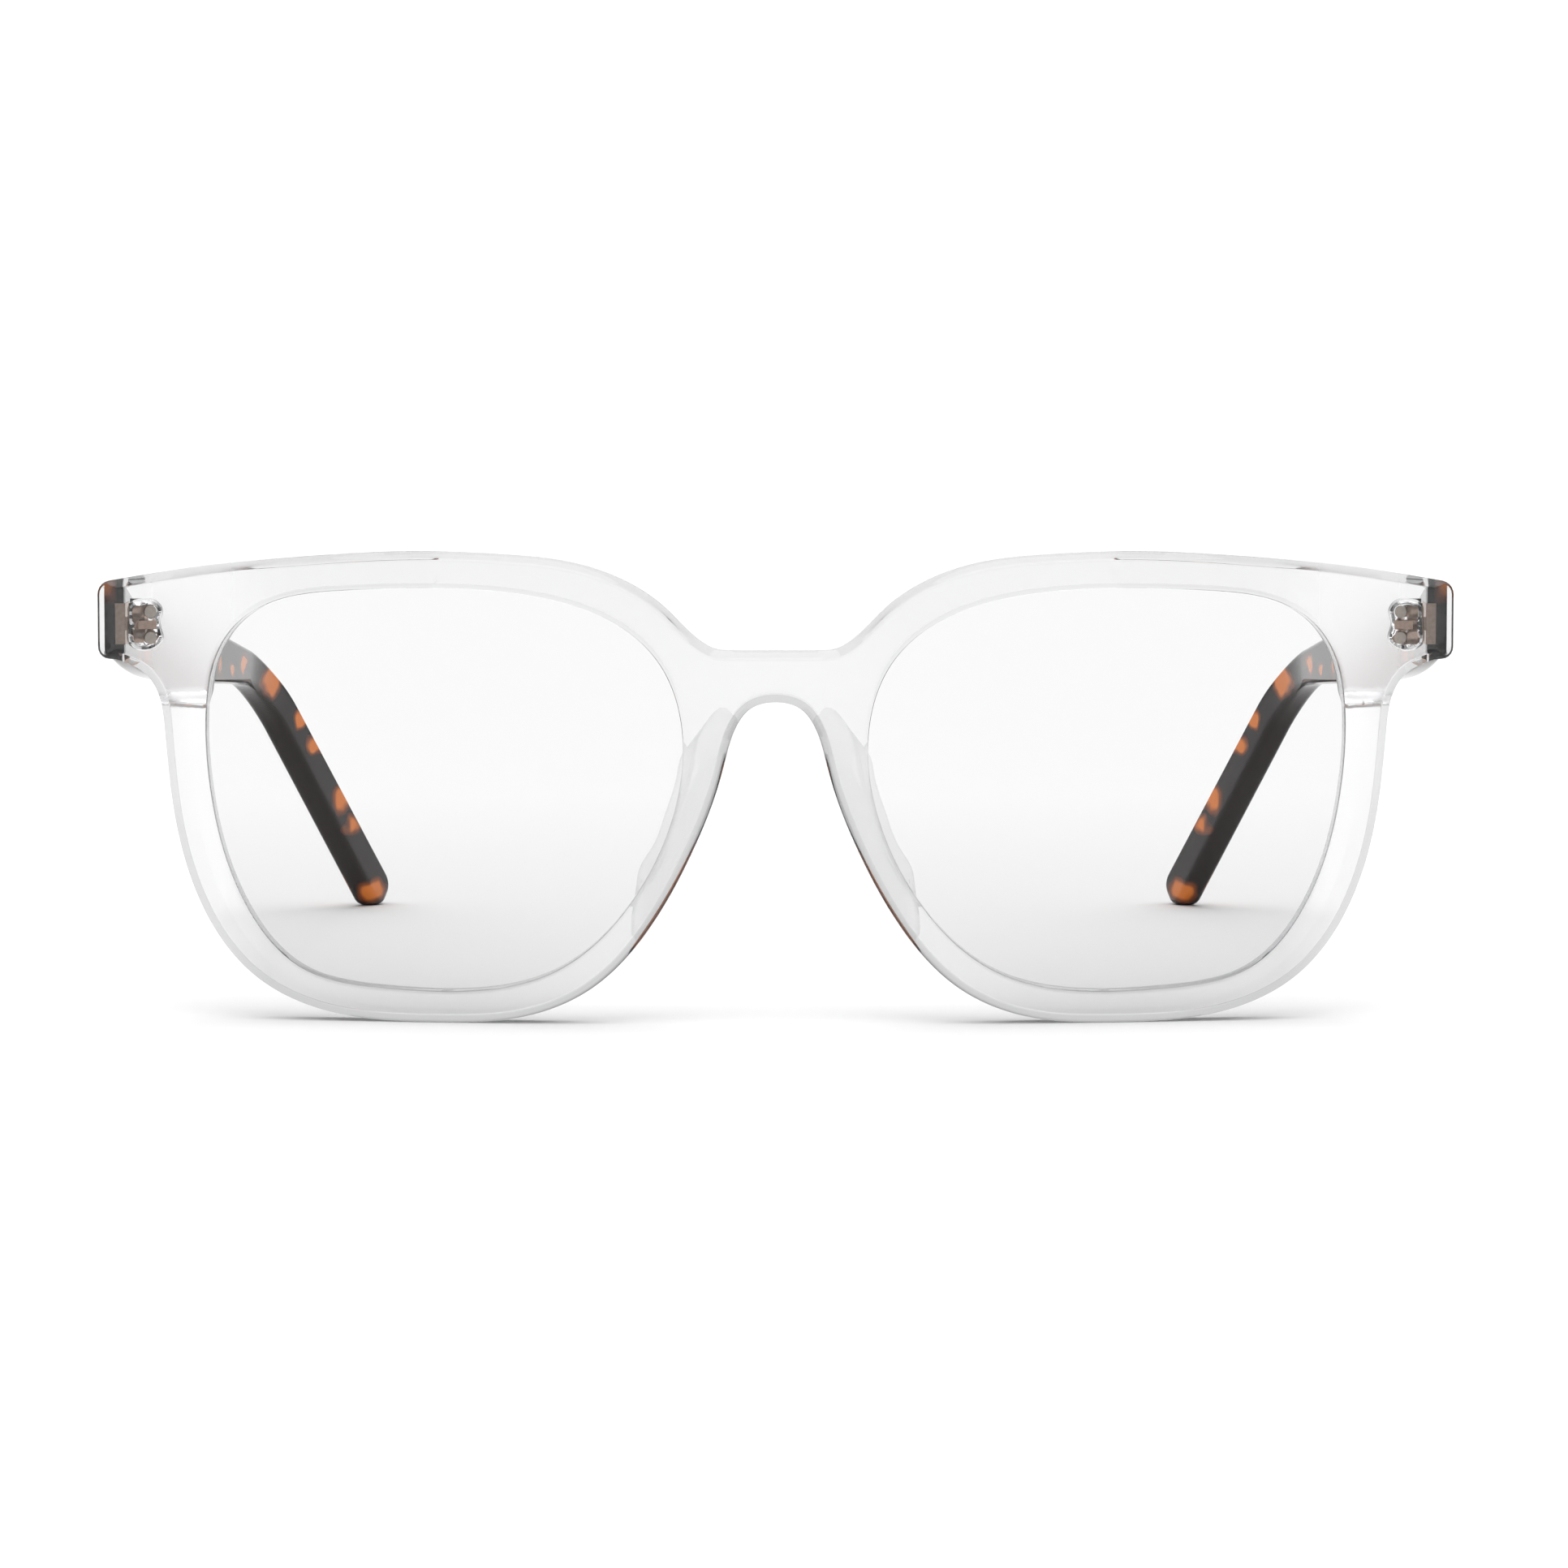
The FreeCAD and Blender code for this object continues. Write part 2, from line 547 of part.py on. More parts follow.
def rods(name, side, place, turned, axis, starts, radius, length):
    """Equal round pins as one node: a primitive for each, kept together in a compound."""
    pins = []
    for index, start in enumerate(starts):
        pin = doc.addObject("Part::Cylinder", f"{name}_{index + 1}")
        pin.setExpression("Radius", radius)
        pin.setExpression("Height", length)
        pin.Placement = Placement(Vector(0, 0, 0), Rotation(Vector(0, 0, 1), axis))
        for letter, expression in zip("xyz", start):
            pin.setExpression(f"Placement.Base.{letter}", expression)
        pins.append(pin)
    group = doc.addObject("Part::Compound", name)
    group.Label = name
    group.Links = pins
    set_place(group, turned, side)
    if place:
        group.setExpression("Placement.Base.x", place)
    doc.recompute()
    return group


def front_hinge_pins(side_name, side):
    """Two anchor pins from the front leaf forward into the end piece."""
    starts = [("0", "Dims.block_back - Dims.anchor_length", f"Dims.hinge_height {way} Dims.anchor_offset")
              for way in ("+", "-")]
    return rods(f"front_hinge_pins_{side_name}", side, f"{side} * (Dims.hinge_x - Dims.anchor_inboard)",
                False, Vector(0, 1, 0), starts, "Dims.anchor_radius", "Dims.anchor_length")


def temple_hinge_pins(side_name, side):
    """Two rivets from the temple leaf outward into the temple."""
    starts = [(f"{side} * Dims.temple_inner", f"Dims.rivet_first + {index} * Dims.rivet_pitch",
               "Dims.hinge_height") for index in range(2)]
    return rods(f"temple_hinge_pins_{side_name}", side, None, True, Vector(side, 0, 0), starts,
                "Dims.rivet_radius", "Dims.rivet_length")


def hinge_screw(side_name, side):
    """Slotted screw: a head above the top knuckle and a shank through all three."""
    body = add_body(f"hinge_screw_{side_name}", "front")
    body.setExpression("Placement.Base.x", f"{side} * Dims.hinge_x")
    body.setExpression("Placement.Base.y", "Dims.hinge_back - Dims.half_depth")
    low, high = knuckle_limits(0)[0], knuckle_limits(2)[1]
    shank = add_sketch(body, f"shank_{side_name}", "XY_Plane", low)
    draw_circle(shank, "0", "0", "Dims.screw_radius")
    pad(body, f"shank_pad_{side_name}", shank, "Dims.knuckle_stack")
    head = add_sketch(body, f"head_{side_name}", "XY_Plane", high)
    draw_circle(head, "0", "0", "Dims.screw_head_radius")
    pad(body, f"head_pad_{side_name}", head, "Dims.screw_head_height")
    slot = add_sketch(body, f"slot_{side_name}", "XY_Plane", f"{high} + Dims.screw_head_height / 2")
    draw_box(slot, ("-Dims.screw_head_radius * 1.2", "-Dims.screw_slot / 2"),
             ("Dims.screw_head_radius * 1.2", "Dims.screw_slot / 2"))
    pocket(body, f"slot_cut_{side_name}", slot, "Dims.screw_head_height", reverse=True)
    return body


# ---------------------------------------------------------------- temples

UNDERSIDE_OF_ARM = [(56.0, 32.7), (31.0, 34.2), (16.0, 35.4), (6.0, 36.7)]


def bend_centre():
    return dim("bend_back"), dim("bend_height")


def hook_run(radius, to_height):
    """Where a straight line that leaves the bend at hook_drop reaches a height."""
    start = polar(bend_centre(), radius, dim("hook_drop"))
    fall = start.y - to_height
    return Vector(start.x + fall / math.tan(math.radians(dim("hook_drop"))), to_height, 0)


def temple_profile():
    """Closed outline of a temple seen from its side: arm, ear bend, hook and round tip."""
    centre, half, drop = bend_centre(), dim("hook_half"), dim("hook_drop")
    outer, inner = dim("bend_radius") + half, dim("bend_radius") - half
    tip = dim("tip_radius")
    middle = hook_run(dim("bend_radius"), tip)
    butt = dim("block_back") + dim("butt_gap") - dim("hinge_back")
    top_start = Vector(butt, dim("temple_top"), 0)
    foot_start = Vector(butt, dim("temple_bottom"), 0)
    top_end = polar(centre, outer, dim("top_slope"))
    under_end = polar(centre, inner, dim("under_slope"))
    upper = polar((middle.x, middle.y), tip, drop)
    lower = polar((middle.x, middle.y), tip, drop + 180)
    under = [(under_end.x, under_end.y)] + UNDERSIDE_OF_ARM + [(foot_start.x, foot_start.y)]
    slope = math.radians(dim("under_slope"))
    return [
        line(top_start, top_end),
        arc(centre, outer, dim("top_slope"), drop),
        line(polar(centre, outer, drop), upper),
        Part.Arc(upper, polar((middle.x, middle.y), tip, drop + 90), lower),
        line(lower, polar(centre, inner, drop)),
        arc(centre, inner, drop, dim("under_slope")),
        smooth(under, (-math.cos(slope), math.sin(slope)), (-0.97, 0.24)),
        line(foot_start, top_start),
    ]


def plan_band(side, inner, outer, start, skew):
    """Closed outline seen from above: straight back, then turned inward by turn_angle."""
    back, angle, radius = dim("turn_back"), dim("turn_angle"), dim("turn_radius")
    middle = dim("temple_inner") + dim("temple_thick") / 2
    tangent = radius * math.tan(math.radians(angle) / 2)
    centre = (middle - radius, back - tangent)

    def edge_point(x, degrees, along=0.0):
        turn = math.radians(degrees)
        reach = radius + x - middle
        px = centre[0] + reach * math.cos(turn) - along * math.sin(turn)
        py = centre[1] + reach * math.sin(turn) + along * math.cos(turn)
        return Vector(side * px, py, 0)

    far = dim("turn_back")

    def curve(x):
        return Part.Arc(edge_point(x, 0), edge_point(x, angle / 2), edge_point(x, angle))

    inner_start = Vector(side * inner, start - skew * inner, 0)
    outer_start = Vector(side * outer, start - skew * outer, 0)
    return [
        line(inner_start, edge_point(inner, 0)), curve(inner),
        line(edge_point(inner, angle), edge_point(inner, angle, far)),
        line(edge_point(inner, angle, far), edge_point(outer, angle, far)),
        line(edge_point(outer, angle, far), edge_point(outer, angle)),
        curve(outer), line(edge_point(outer, 0), outer_start), line(outer_start, inner_start),
    ]


def trim_to_plan(body, name, band):
    """Keep only what lies inside an outline seen from above."""
    around = add_sketch(body, name, "XY_Plane")
    reach = dim("bow_radius")
    corners = flat([(-reach, -reach), (reach, -reach), (reach, reach), (-reach, reach)])
    draw(around, [line(a, b) for a, b in zip(corners, corners[1:] + corners[:1])] + band)
    return pocket(body, f"{name}_cut", around, THROUGH, midplane=True)


def core_strip(name, place, side):
    """A flat steel strip that follows the middle of the temple."""
    body = add_body(name, place, side)
    centre, radius, half = bend_centre(), dim("bend_radius"), dim("core_height") / 2
    slope, drop = dim("core_slope"), dim("hook_drop")
    rise = math.tan(math.radians(slope))
    begin = dim("core_start")
    upper_bend, lower_bend = polar(centre, radius + half, slope), polar(centre, radius - half, slope)
    upper_start = Vector(begin, upper_bend.y + (upper_bend.x - begin) * rise, 0)
    lower_start = Vector(begin, lower_bend.y + (lower_bend.x - begin) * rise, 0)
    end = hook_run(radius, dim("tip_radius") + dim("core_end"))
    upper_end = polar((end.x, end.y), half, drop)
    lower_end = polar((end.x, end.y), half, drop + 180)
    profile = add_sketch(body, f"{name}_profile", "YZ_Plane")
    draw(profile, [
        line(upper_start, upper_bend), arc(centre, radius + half, slope, drop),
        line(polar(centre, radius + half, drop), upper_end), line(upper_end, lower_end),
        line(lower_end, polar(centre, radius - half, drop)), arc(centre, radius - half, drop, slope),
        line(lower_bend, lower_start), line(lower_start, upper_start),
    ])
    pad(body, f"{name}_slab", profile, SLAB, midplane=True)
    middle = dim("temple_inner") + dim("temple_thick") / 2
    thick = dim("core_thick") / 2
    trim_to_plan(body, f"{name}_plan", plan_band(side, middle - thick, middle + thick, -BEYOND, 0.0))
    return body


def core_wire(side_name, side):
    return core_strip(f"core_wire_{side_name}", "hinge", side)


def temple(side_name, side):
    """Temple: arm and ear hook, with seats for its hinge leaf, the rivets and the core."""
    body = add_body(f"temple_{side_name}", "hinge", side)
    profile = add_sketch(body, f"temple_profile_{side_name}", "YZ_Plane")
    draw(profile, temple_profile())
    pad(body, f"temple_slab_{side_name}", profile, SLAB, midplane=True)
    inner = dim("temple_inner")
    start = dim("block_back") + dim("butt_gap") - dim("hinge_back")
    skew = math.tan(math.radians(dim("toe_in")))
    trim_to_plan(body, f"temple_plan_{side_name}",
                 plan_band(side, inner, inner + dim("temple_thick"), start, skew))
    carve(body, f"core_cavity_{side_name}", core_strip(f"core_space_{side_name}", "tool", side))
    seat = add_sketch(body, f"plate_seat_{side_name}", "YZ_Plane", f"{side} * Dims.temple_inner")
    draw_box(seat, ("-Dims.plate_length", "Dims.hinge_height - Dims.knuckle_stack / 2"),
             ("-(Dims.hinge_back - Dims.block_back) + Dims.plate_gap + Dims.plate_length",
              "Dims.hinge_height + Dims.knuckle_stack / 2"))
    pocket(body, f"plate_seat_cut_{side_name}", seat, "Dims.plate_thick", reverse=side > 0)
    holes = add_sketch(body, f"rivet_seats_{side_name}", "YZ_Plane", f"{side} * Dims.temple_inner")
    for index in range(2):
        draw_circle(holes, f"Dims.rivet_first + {index} * Dims.rivet_pitch", "Dims.hinge_height",
                    "Dims.rivet_radius")
    pocket(body, f"rivet_seat_cut_{side_name}", holes, "Dims.rivet_length", reverse=side > 0)
    return body


def export(items):
    os.makedirs("parts", exist_ok=True)
    for item in doc.Objects:
        if "Invalid" in item.State or "Error" in item.State:
            raise RuntimeError(f"{item.Name} failed: {item.State}")
    for item in items:
        shape = item.Shape
        if shape.isNull() or not shape.isValid():
            raise RuntimeError(f"{item.Label} has no valid shape")
        box = shape.BoundBox
        print(f"{item.Label:24s} solids {len(shape.Solids)} volume {shape.Volume:9.2f}  "
              f"x {box.XMin:7.2f} {box.XMax:7.2f}  y {box.YMin:7.2f} {box.YMax:7.2f}  "
              f"z {box.ZMin:6.2f} {box.ZMax:6.2f}")
        shape.exportStep(f"parts/{item.Label}.step")


parts = [front_frame()]
for maker in (lens, front_hinge, front_hinge_pins, temple_hinge, temple_hinge_pins, hinge_screw, temple,
              core_wire):
    parts += [maker(side_name, side) for side_name, side in SIDES.items()]
export(parts)
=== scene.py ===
import json
import math

import bmesh
import bpy
import numpy as np
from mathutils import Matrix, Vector, noise
from mathutils.geometry import delaunay_2d_cdt


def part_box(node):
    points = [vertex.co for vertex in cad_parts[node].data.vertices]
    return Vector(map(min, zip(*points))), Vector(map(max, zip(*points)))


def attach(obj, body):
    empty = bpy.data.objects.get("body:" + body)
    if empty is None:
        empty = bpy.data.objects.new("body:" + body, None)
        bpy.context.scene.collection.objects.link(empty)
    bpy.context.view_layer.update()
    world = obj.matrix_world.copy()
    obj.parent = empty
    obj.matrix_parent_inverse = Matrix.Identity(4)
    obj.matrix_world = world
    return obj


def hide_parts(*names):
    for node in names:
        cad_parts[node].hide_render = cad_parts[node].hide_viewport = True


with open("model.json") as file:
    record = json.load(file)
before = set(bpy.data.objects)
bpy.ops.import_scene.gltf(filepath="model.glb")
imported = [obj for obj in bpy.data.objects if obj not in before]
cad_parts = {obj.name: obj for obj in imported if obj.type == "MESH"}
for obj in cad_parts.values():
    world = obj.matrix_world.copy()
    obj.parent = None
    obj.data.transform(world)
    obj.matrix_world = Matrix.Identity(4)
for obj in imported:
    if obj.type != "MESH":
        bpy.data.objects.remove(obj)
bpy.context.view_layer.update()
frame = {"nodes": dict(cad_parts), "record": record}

# Blue light glasses: a clear front, two lenses and two tortoise temples around the hinges of the design.
# Sizes are millimetres in the row frame and become metres in add_mesh().  A depth, or "back", is
# measured straight back from the front's foremost point.  Points of an outline are (x, height).

MM = 0.001
SIDES = {"left": 1, "right": -1}
SHARP = math.radians(32)    # edges sharper than this are shaded as edges
SPACING = 0.4               # distance between points along an outline
GRID = 0.85                 # distance between points inside a face

# The front as a whole
FRONT_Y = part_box("front_frame")[0].y / MM       # row Y of the front's foremost point
HALF_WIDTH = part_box("front_frame")[1].x / MM
BLOCK_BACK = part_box("front_frame")[1].y / MM - FRONT_Y     # depth of the end pieces' flat back
SIDE_CLEARANCE = 0.004      # these keep the visual front just inside the design's box
BACK_CLEARANCE = 0.005
BOW_RADIUS = 300.0          # the front is bowed round the face
RIM_DEPTH = 3.8
BLOCK_FOOT = 33.4           # height at which the end pieces' blocks begin
FOOT_SLOPE = 1.6            # height of the slanted foot of a block
TAPER_START = 36.0          # where the brow begins to thicken towards the end piece
TAPER_END = 54.0
TAPER_BLEND = 0.8           # softening of the taper's corner

# Its right half's outline: the top edge from the bridge outward, then the underside back to the bridge
BRIDGE_TOP = 39.6
BRIDGE_FLAT = 5.4
CORNER = 1.3                # rounding of the outer corners
CORNER_X = 72.5 - CORNER
OUTER_TOP = 46.75
OUTER_BOTTOM = 38.35
BROW = [(BRIDGE_FLAT, BRIDGE_TOP), (8.3, 40.9), (11.6, 44.1), (15.4, 46.7), (21.0, 48.75), (28.0, 49.65),
        (38.0, 50.0), (50.0, 49.4), (62.0, 48.2), (CORNER_X, OUTER_TOP)]
UNDERSIDE = [(CORNER_X, OUTER_BOTTOM), (69.6, 37.95), (67.4, 36.8), (66.1, 35.0), (65.3, 31.0),
             (64.4, 22.5), (61.3, 12.0), (55.6, 4.6), (47.0, 0.8), (36.0, 0.0), (27.0, 0.6), (19.5, 3.7),
             (13.1, 10.5), (8.4, 19.1), (5.6, 26.8), (4.3, 31.2), (2.5, 33.5), (0.0, 34.1)]

# The opening for a lens
APERTURE = [(34.7, 46.1), (24.5, 45.1), (17.5, 42.75), (12.4, 38.4), (9.9, 31.5), (10.9, 21.8), (15.2, 13.0),
            (23.3, 5.6), (33.0, 3.4), (41.0, 3.6), (50.5, 5.7), (56.7, 12.8), (60.2, 24.5), (60.6, 33.5),
            (59.5, 38.9), (57.2, 42.3), (53.6, 44.5), (45.5, 45.85)]

# Nose pads: the outline of a pad where it leaves the rim, and that of its crest
PAD_FOOT = [(4.9, 31.3), (6.2, 26.5), (8.9, 19.5), (12.2, 13.0), (14.9, 9.6), (15.2, 11.0), (12.8, 16.0),
            (10.6, 21.5), (8.9, 27.0), (7.6, 31.6), (6.0, 32.8)]
PAD_CREST = [(8.4, 27.6), (9.2, 24.5), (11.0, 19.6), (13.1, 15.6), (14.6, 14.0), (14.8, 15.2), (13.4, 18.2),
             (11.9, 22.0), (10.7, 26.0), (9.8, 28.4), (8.9, 28.8)]
PAD_FOOT_BACK = 3.2         # depth at which a pad starts
PAD_REACH = 6.2             # how far it stands out behind
PAD_ROOT = -0.2             # where its loft starts, a little inside the rim, as a share of the reach
PAD_SHOULDER = 0.9          # where its crest begins to round off
PAD_ROUND = 0.6             # how far the crest rounds in
PAD_POINTS = 90             # points round a pad
PAD_SHARP = math.radians(80)

# Hinges: the screw's axis, and the hollow that the front leaf has melted into the plastic
HINGE_X = 68.0
HINGE_BACK = 14.3
HINGE_HEIGHT = 42.0
POCKET_DEPTH = 2.3
POCKET_WALL = [(0.35, 0.04), (1.2, 0.1), (2.0, 0.22), (POCKET_DEPTH, 0.5)]     # (depth, narrowing)
# The hollow's uneven mouth, from the hinge axis
POCKET_EDGE = [(1.2, 0.4), (0.95, 2.3), (-0.3, 2.75), (-1.9, 2.6), (-2.7, 1.5), (-2.45, 0.1),
               (-2.75, -1.6), (-1.7, -2.65), (0.2, -2.75), (1.0, -2.3)]

END_BEVEL = 0.75            # the front bevel narrows by this share at the outer ends,
NARROW_FROM, NARROW_TO = 2.2, 0.6      # between these distances from them
# The front's edges, each as rings: (inset from the outline, depth behind the front face)
FRONT_BEVEL = [(1.12, 0.0), (0.95, 0.0), (0.86, 0.03), (0.05, 0.82), (0.0, 0.93)]
# (inset, distance in front of the rear face)
REAR_ROUND = [(0.0, 0.4), (0.12, 0.12), (0.4, 0.0), (0.55, 0.0)]
# (outset from the lens opening, depth behind the front face)
OPENING_FRONT = [(0.36, 0.0), (0.22, 0.0), (0.06, 0.05), (0.0, 0.2), (0.0, 1.2), (0.0, 2.4)]
OPENING_REAR = [(0.0, 0.3), (0.08, 0.08), (0.3, 0.0), (0.45, 0.0)]

# Lenses
LENS_SETBACK = 0.9
LENS_DEPTH = 1.8
LENS_BITE = 0.04            # the lens is held tight by the rim
LENS_GRID = 1.6

# Temples, measured from the hinge axis with +Y straight back.  Points from the side are (back, height).
TOE_IN = 2.66               # degrees that a temple leans inward
TEMPLE_INNER = 1.42         # from the hinge axis to the inner face
TEMPLE_THICK = 3.0
BUTT_GAP = 0.1              # between the temple and the end piece
TEMPLE_TOP = 46.8
TEMPLE_BOTTOM = 38.2
BEND = (79.94, 7.65)        # centre of the bend over the ear
BEND_RADIUS = 26.0
HOOK_HALF = 2.25            # half the hook's width
HOOK_DROP = 45.0            # degrees that the hook points down
TIP_RADIUS = 2.45
TOP_SLOPE = 7.5             # degrees of the arm's top and underside where the bend begins
UNDER_SLOPE = 3.5
UNDERSIDE_OF_ARM = [(56.0, 32.7), (31.0, 34.2), (16.0, 35.4), (6.0, 36.7)]
TURN_BACK = 89.7            # the hook also turns inward, about this place
TURN_ANGLE = 19.1
TURN_RADIUS = 40.0
BUTT_STEP = 0.55            # the outer face leans in at the butt, so that the clear end piece stands proud
BUTT_TAPER = 24.0
BUTT_EDGE = 0.12            # small chamfer round the butt
SKEW_RINGS = 12             # the butt is cut square to the front, which fades out over this many rings
TEMPLE_ROUND = 0.85         # rounding of a temple's long edges
TIP_END = 86                # degrees of the tip's rounding; its last ring is a small flat
ARM_RINGS, BEND_RINGS, HOOK_RINGS, TIP_RINGS = 90, 40, 40, 16
LEAF_HALF = 2.2             # half the height of the temple leaf
LEAF_THICK = 1.1
LEAF_REACH = 6.2
LEAF_CLEAR = 0.02           # between the leaf and its seat


# ---------------------------------------------------------------- curves

def spline(points, start=None, end=None, closed=False, spacing=SPACING):
    """Evenly spaced points on the cubic through the given points."""
    knots = np.array(points, float)
    if closed:
        knots = np.vstack([knots, knots[:1]])
    step = np.hypot(*np.diff(knots, axis=0).T)
    count = len(knots)
    matrix, right = np.zeros((count, count)), np.zeros((count, 2))
    for i in range(1, count - 1):
        a, b = step[i - 1], step[i]
        matrix[i, i - 1:i + 2] = b, 2 * (a + b), a
        right[i] = 3 * (b * (knots[i] - knots[i - 1]) / a + a * (knots[i + 1] - knots[i]) / b)
    if closed:
        a, b = step[-1], step[0]
        matrix[0, [count - 2, 0, 1]] = b, 2 * (a + b), a
        right[0] = 3 * (b * (knots[-1] - knots[-2]) / a + a * (knots[1] - knots[0]) / b)
        matrix[-1, 0], matrix[-1, -1] = 1, -1
    else:
        matrix[0, 0] = matrix[-1, -1] = 1
        right[0], right[-1] = start, end
    slopes = np.linalg.solve(matrix, right)
    dense = []
    for i in range(count - 1):
        for t in np.linspace(0, 1, 24, endpoint=False):
            h00, h10 = 2 * t**3 - 3 * t**2 + 1, t**3 - 2 * t**2 + t
            h01, h11 = -2 * t**3 + 3 * t**2, t**3 - t**2
            dense.append(h00 * knots[i] + h10 * step[i] * slopes[i]
                         + h01 * knots[i + 1] + h11 * step[i] * slopes[i + 1])
    dense.append(knots[-1])
    return resample(np.array(dense), spacing, drop_last=closed)


def resample(path, spacing, drop_last=False):
    """The same path with points an equal distance apart."""
    run = np.concatenate([[0], np.cumsum(np.hypot(*np.diff(path, axis=0).T))])
    count = max(2, int(round(run[-1] / spacing)) + 1)
    at = np.linspace(0, run[-1], count)
    even = np.column_stack([np.interp(at, run, path[:, k]) for k in range(2)])
    return even[:-1] if drop_last else even


def three_point_arc(a, b, c, count=12):
    """Points on the circle through three points, from the first to the last."""
    a, b, c = (complex(*p) for p in (a, b, c))
    w = (c - a) / (b - a)
    centre = (b - a) * (w - abs(w) ** 2) / (2j * w.imag) + a
    radius = abs(a - centre)
    first, last = np.angle(a - centre), np.angle(c - centre)
    turn = (last - first + math.pi) % (2 * math.pi) - math.pi
    angles = first + turn * np.linspace(0, 1, count)
    return np.column_stack([centre.real + radius * np.cos(angles), centre.imag + radius * np.sin(angles)])


def front_outline():
    """The whole outline of the front, clockwise seen from the front's side."""
    edge = HALF_WIDTH - SIDE_CLEARANCE
    high, low = OUTER_TOP - 1.25 * CORNER, OUTER_BOTTOM + CORNER
    half = np.vstack([
        [[0.0, BRIDGE_TOP]],
        spline(BROW, (1.0, 0.0), (0.986, -0.167)),
        three_point_arc(BROW[-1], (edge - 0.28 * CORNER, OUTER_TOP - 0.4 * CORNER), (edge, high)),
        three_point_arc((edge, low), (edge - 0.28 * CORNER, OUTER_BOTTOM + 0.3 * CORNER), UNDERSIDE[0]),
        spline(UNDERSIDE, (-0.995, -0.1), (-1.0, 0.0)),
    ])
    other = half[::-1] * (-1, 1)
    return resample(np.vstack([half, other[1:]]), SPACING, drop_last=True)


def inset(loop, distance):
    """A closed loop moved inward; a negative distance moves it outward."""
    along = np.roll(loop, -1, axis=0) - np.roll(loop, 1, axis=0)
    along /= np.hypot(*along.T)[:, None]
    x, z = loop.T
    area = np.sum(x * np.roll(z, -1) - np.roll(x, -1) * z)
    left = np.column_stack([-along[:, 1], along[:, 0]])
    reach = np.broadcast_to(distance, len(loop))[:, None]
    return loop + left * (reach if area > 0 else -reach)


def bow(x, setback=0.0):
    """Depth of the bowed front face, or of a face parallel to it and set back from it."""
    return BOW_RADIUS - np.sqrt((BOW_RADIUS - setback) ** 2 - np.asarray(x, float) ** 2)


def ease(value, low, high):
    """A smooth rise from 0 at low to 1 at high."""
    t = np.clip((np.asarray(value, float) - low) / (high - low), 0, 1)
    return t * t * (3 - 2 * t)


def rear_depth(x, z):
    """Depth of the rear face: the bowed rim, rising to the flat back of the end pieces."""
    rim, flat = bow(x, RIM_DEPTH), BLOCK_BACK - BACK_CLEARANCE
    start = float(bow(TAPER_START, RIM_DEPTH))
    taper = start + (np.abs(x) - TAPER_START) * (flat - start) / (TAPER_END - TAPER_START)
    over = np.clip((taper - flat) / TAPER_BLEND / 2 + 0.5, 0, 1)
    block = np.maximum(rim, taper + (flat - taper) * over - TAPER_BLEND * over * (1 - over))
    return rim + (block - rim) * ease(z, BLOCK_FOOT, BLOCK_FOOT + FOOT_SLOPE)


def inside(points, loop):
    """Which points lie inside a closed loop."""
    x, z = points.T
    hit = np.zeros(len(points), bool)
    for (x1, z1), (x2, z2) in zip(loop, np.roll(loop, -1, axis=0)):
        crosses = (z1 > z) != (z2 > z)
        with np.errstate(divide="ignore", invalid="ignore"):
            hit ^= crosses & (x < (x2 - x1) * (z - z1) / (z2 - z1) + x1)
    return hit


# ---------------------------------------------------------------- mesh building

class Shell:
    """A surface built from rings and filled faces; points are (x, depth, z) in the front's frame."""

    def __init__(self):
        self.points, self.faces = [], []

    def ring(self, loop, depth):
        """New points along a closed loop, at one depth or at one depth each."""
        first = len(self.points)
        depth = np.broadcast_to(depth, len(loop))
        self.points += [(x, y, z) for (x, z), y in zip(loop, depth)]
        return list(range(first, len(self.points)))

    def bridge(self, one, two):
        """A band of faces between two rings with the same number of points."""
        count = len(one)
        self.faces += [(one[i], one[(i + 1) % count], two[(i + 1) % count], two[i]) for i in range(count)]

    def fill(self, outer, holes, depth_at, grid=GRID, extra=None):
        """Triangles between closed rings, with inner points on a surface depth_at(x, z)."""
        rings = [outer] + holes
        loops = [np.array([(self.points[i][0], self.points[i][2]) for i in ring]) for ring in rings]
        low, high = loops[0].min(0), loops[0].max(0)
        rows = np.arange(low[1], high[1], grid * 0.866)
        spots = np.array([(x + (k % 2) * grid / 2, z) for k, z in enumerate(rows)
                          for x in np.arange(low[0], high[0], grid)])
        if extra is not None:
            spots = np.vstack([spots, extra])
        keep = inside(spots, loops[0])
        for loop in loops[1:]:
            keep &= ~inside(spots, loop)
        spots = spots[keep]
        for loop in loops:
            gaps = np.hypot(spots[:, None, 0] - loop[None, :, 0], spots[:, None, 1] - loop[None, :, 1])
            spots = spots[gaps.min(axis=1) > grid * 0.45]
        known = [i for ring in rings for i in ring]
        flat = np.vstack(loops + [spots])
        edges, first = [], 0
        for ring in rings:
            edges += [(first + i, first + (i + 1) % len(ring)) for i in range(len(ring))]
            first += len(ring)
        made = delaunay_2d_cdt([Vector(p) for p in flat], edges, [], 0, 1e-6)
        places, triangles, origin = made[0], made[2], made[3]
        index = []
        for place, source in zip(places, origin):
            if source and source[0] < len(known):
                index.append(known[source[0]])
            else:
                index.append(len(self.points))
                self.points.append((place[0], float(depth_at(place[0], place[1])), place[1]))
        centres = np.array([np.mean([places[i] for i in t], axis=0) for t in triangles])
        good = inside(centres, loops[0])
        for loop in loops[1:]:
            good &= ~inside(centres, loop)
        self.faces += [tuple(index[i] for i in t) for t, ok in zip(triangles, good) if ok]


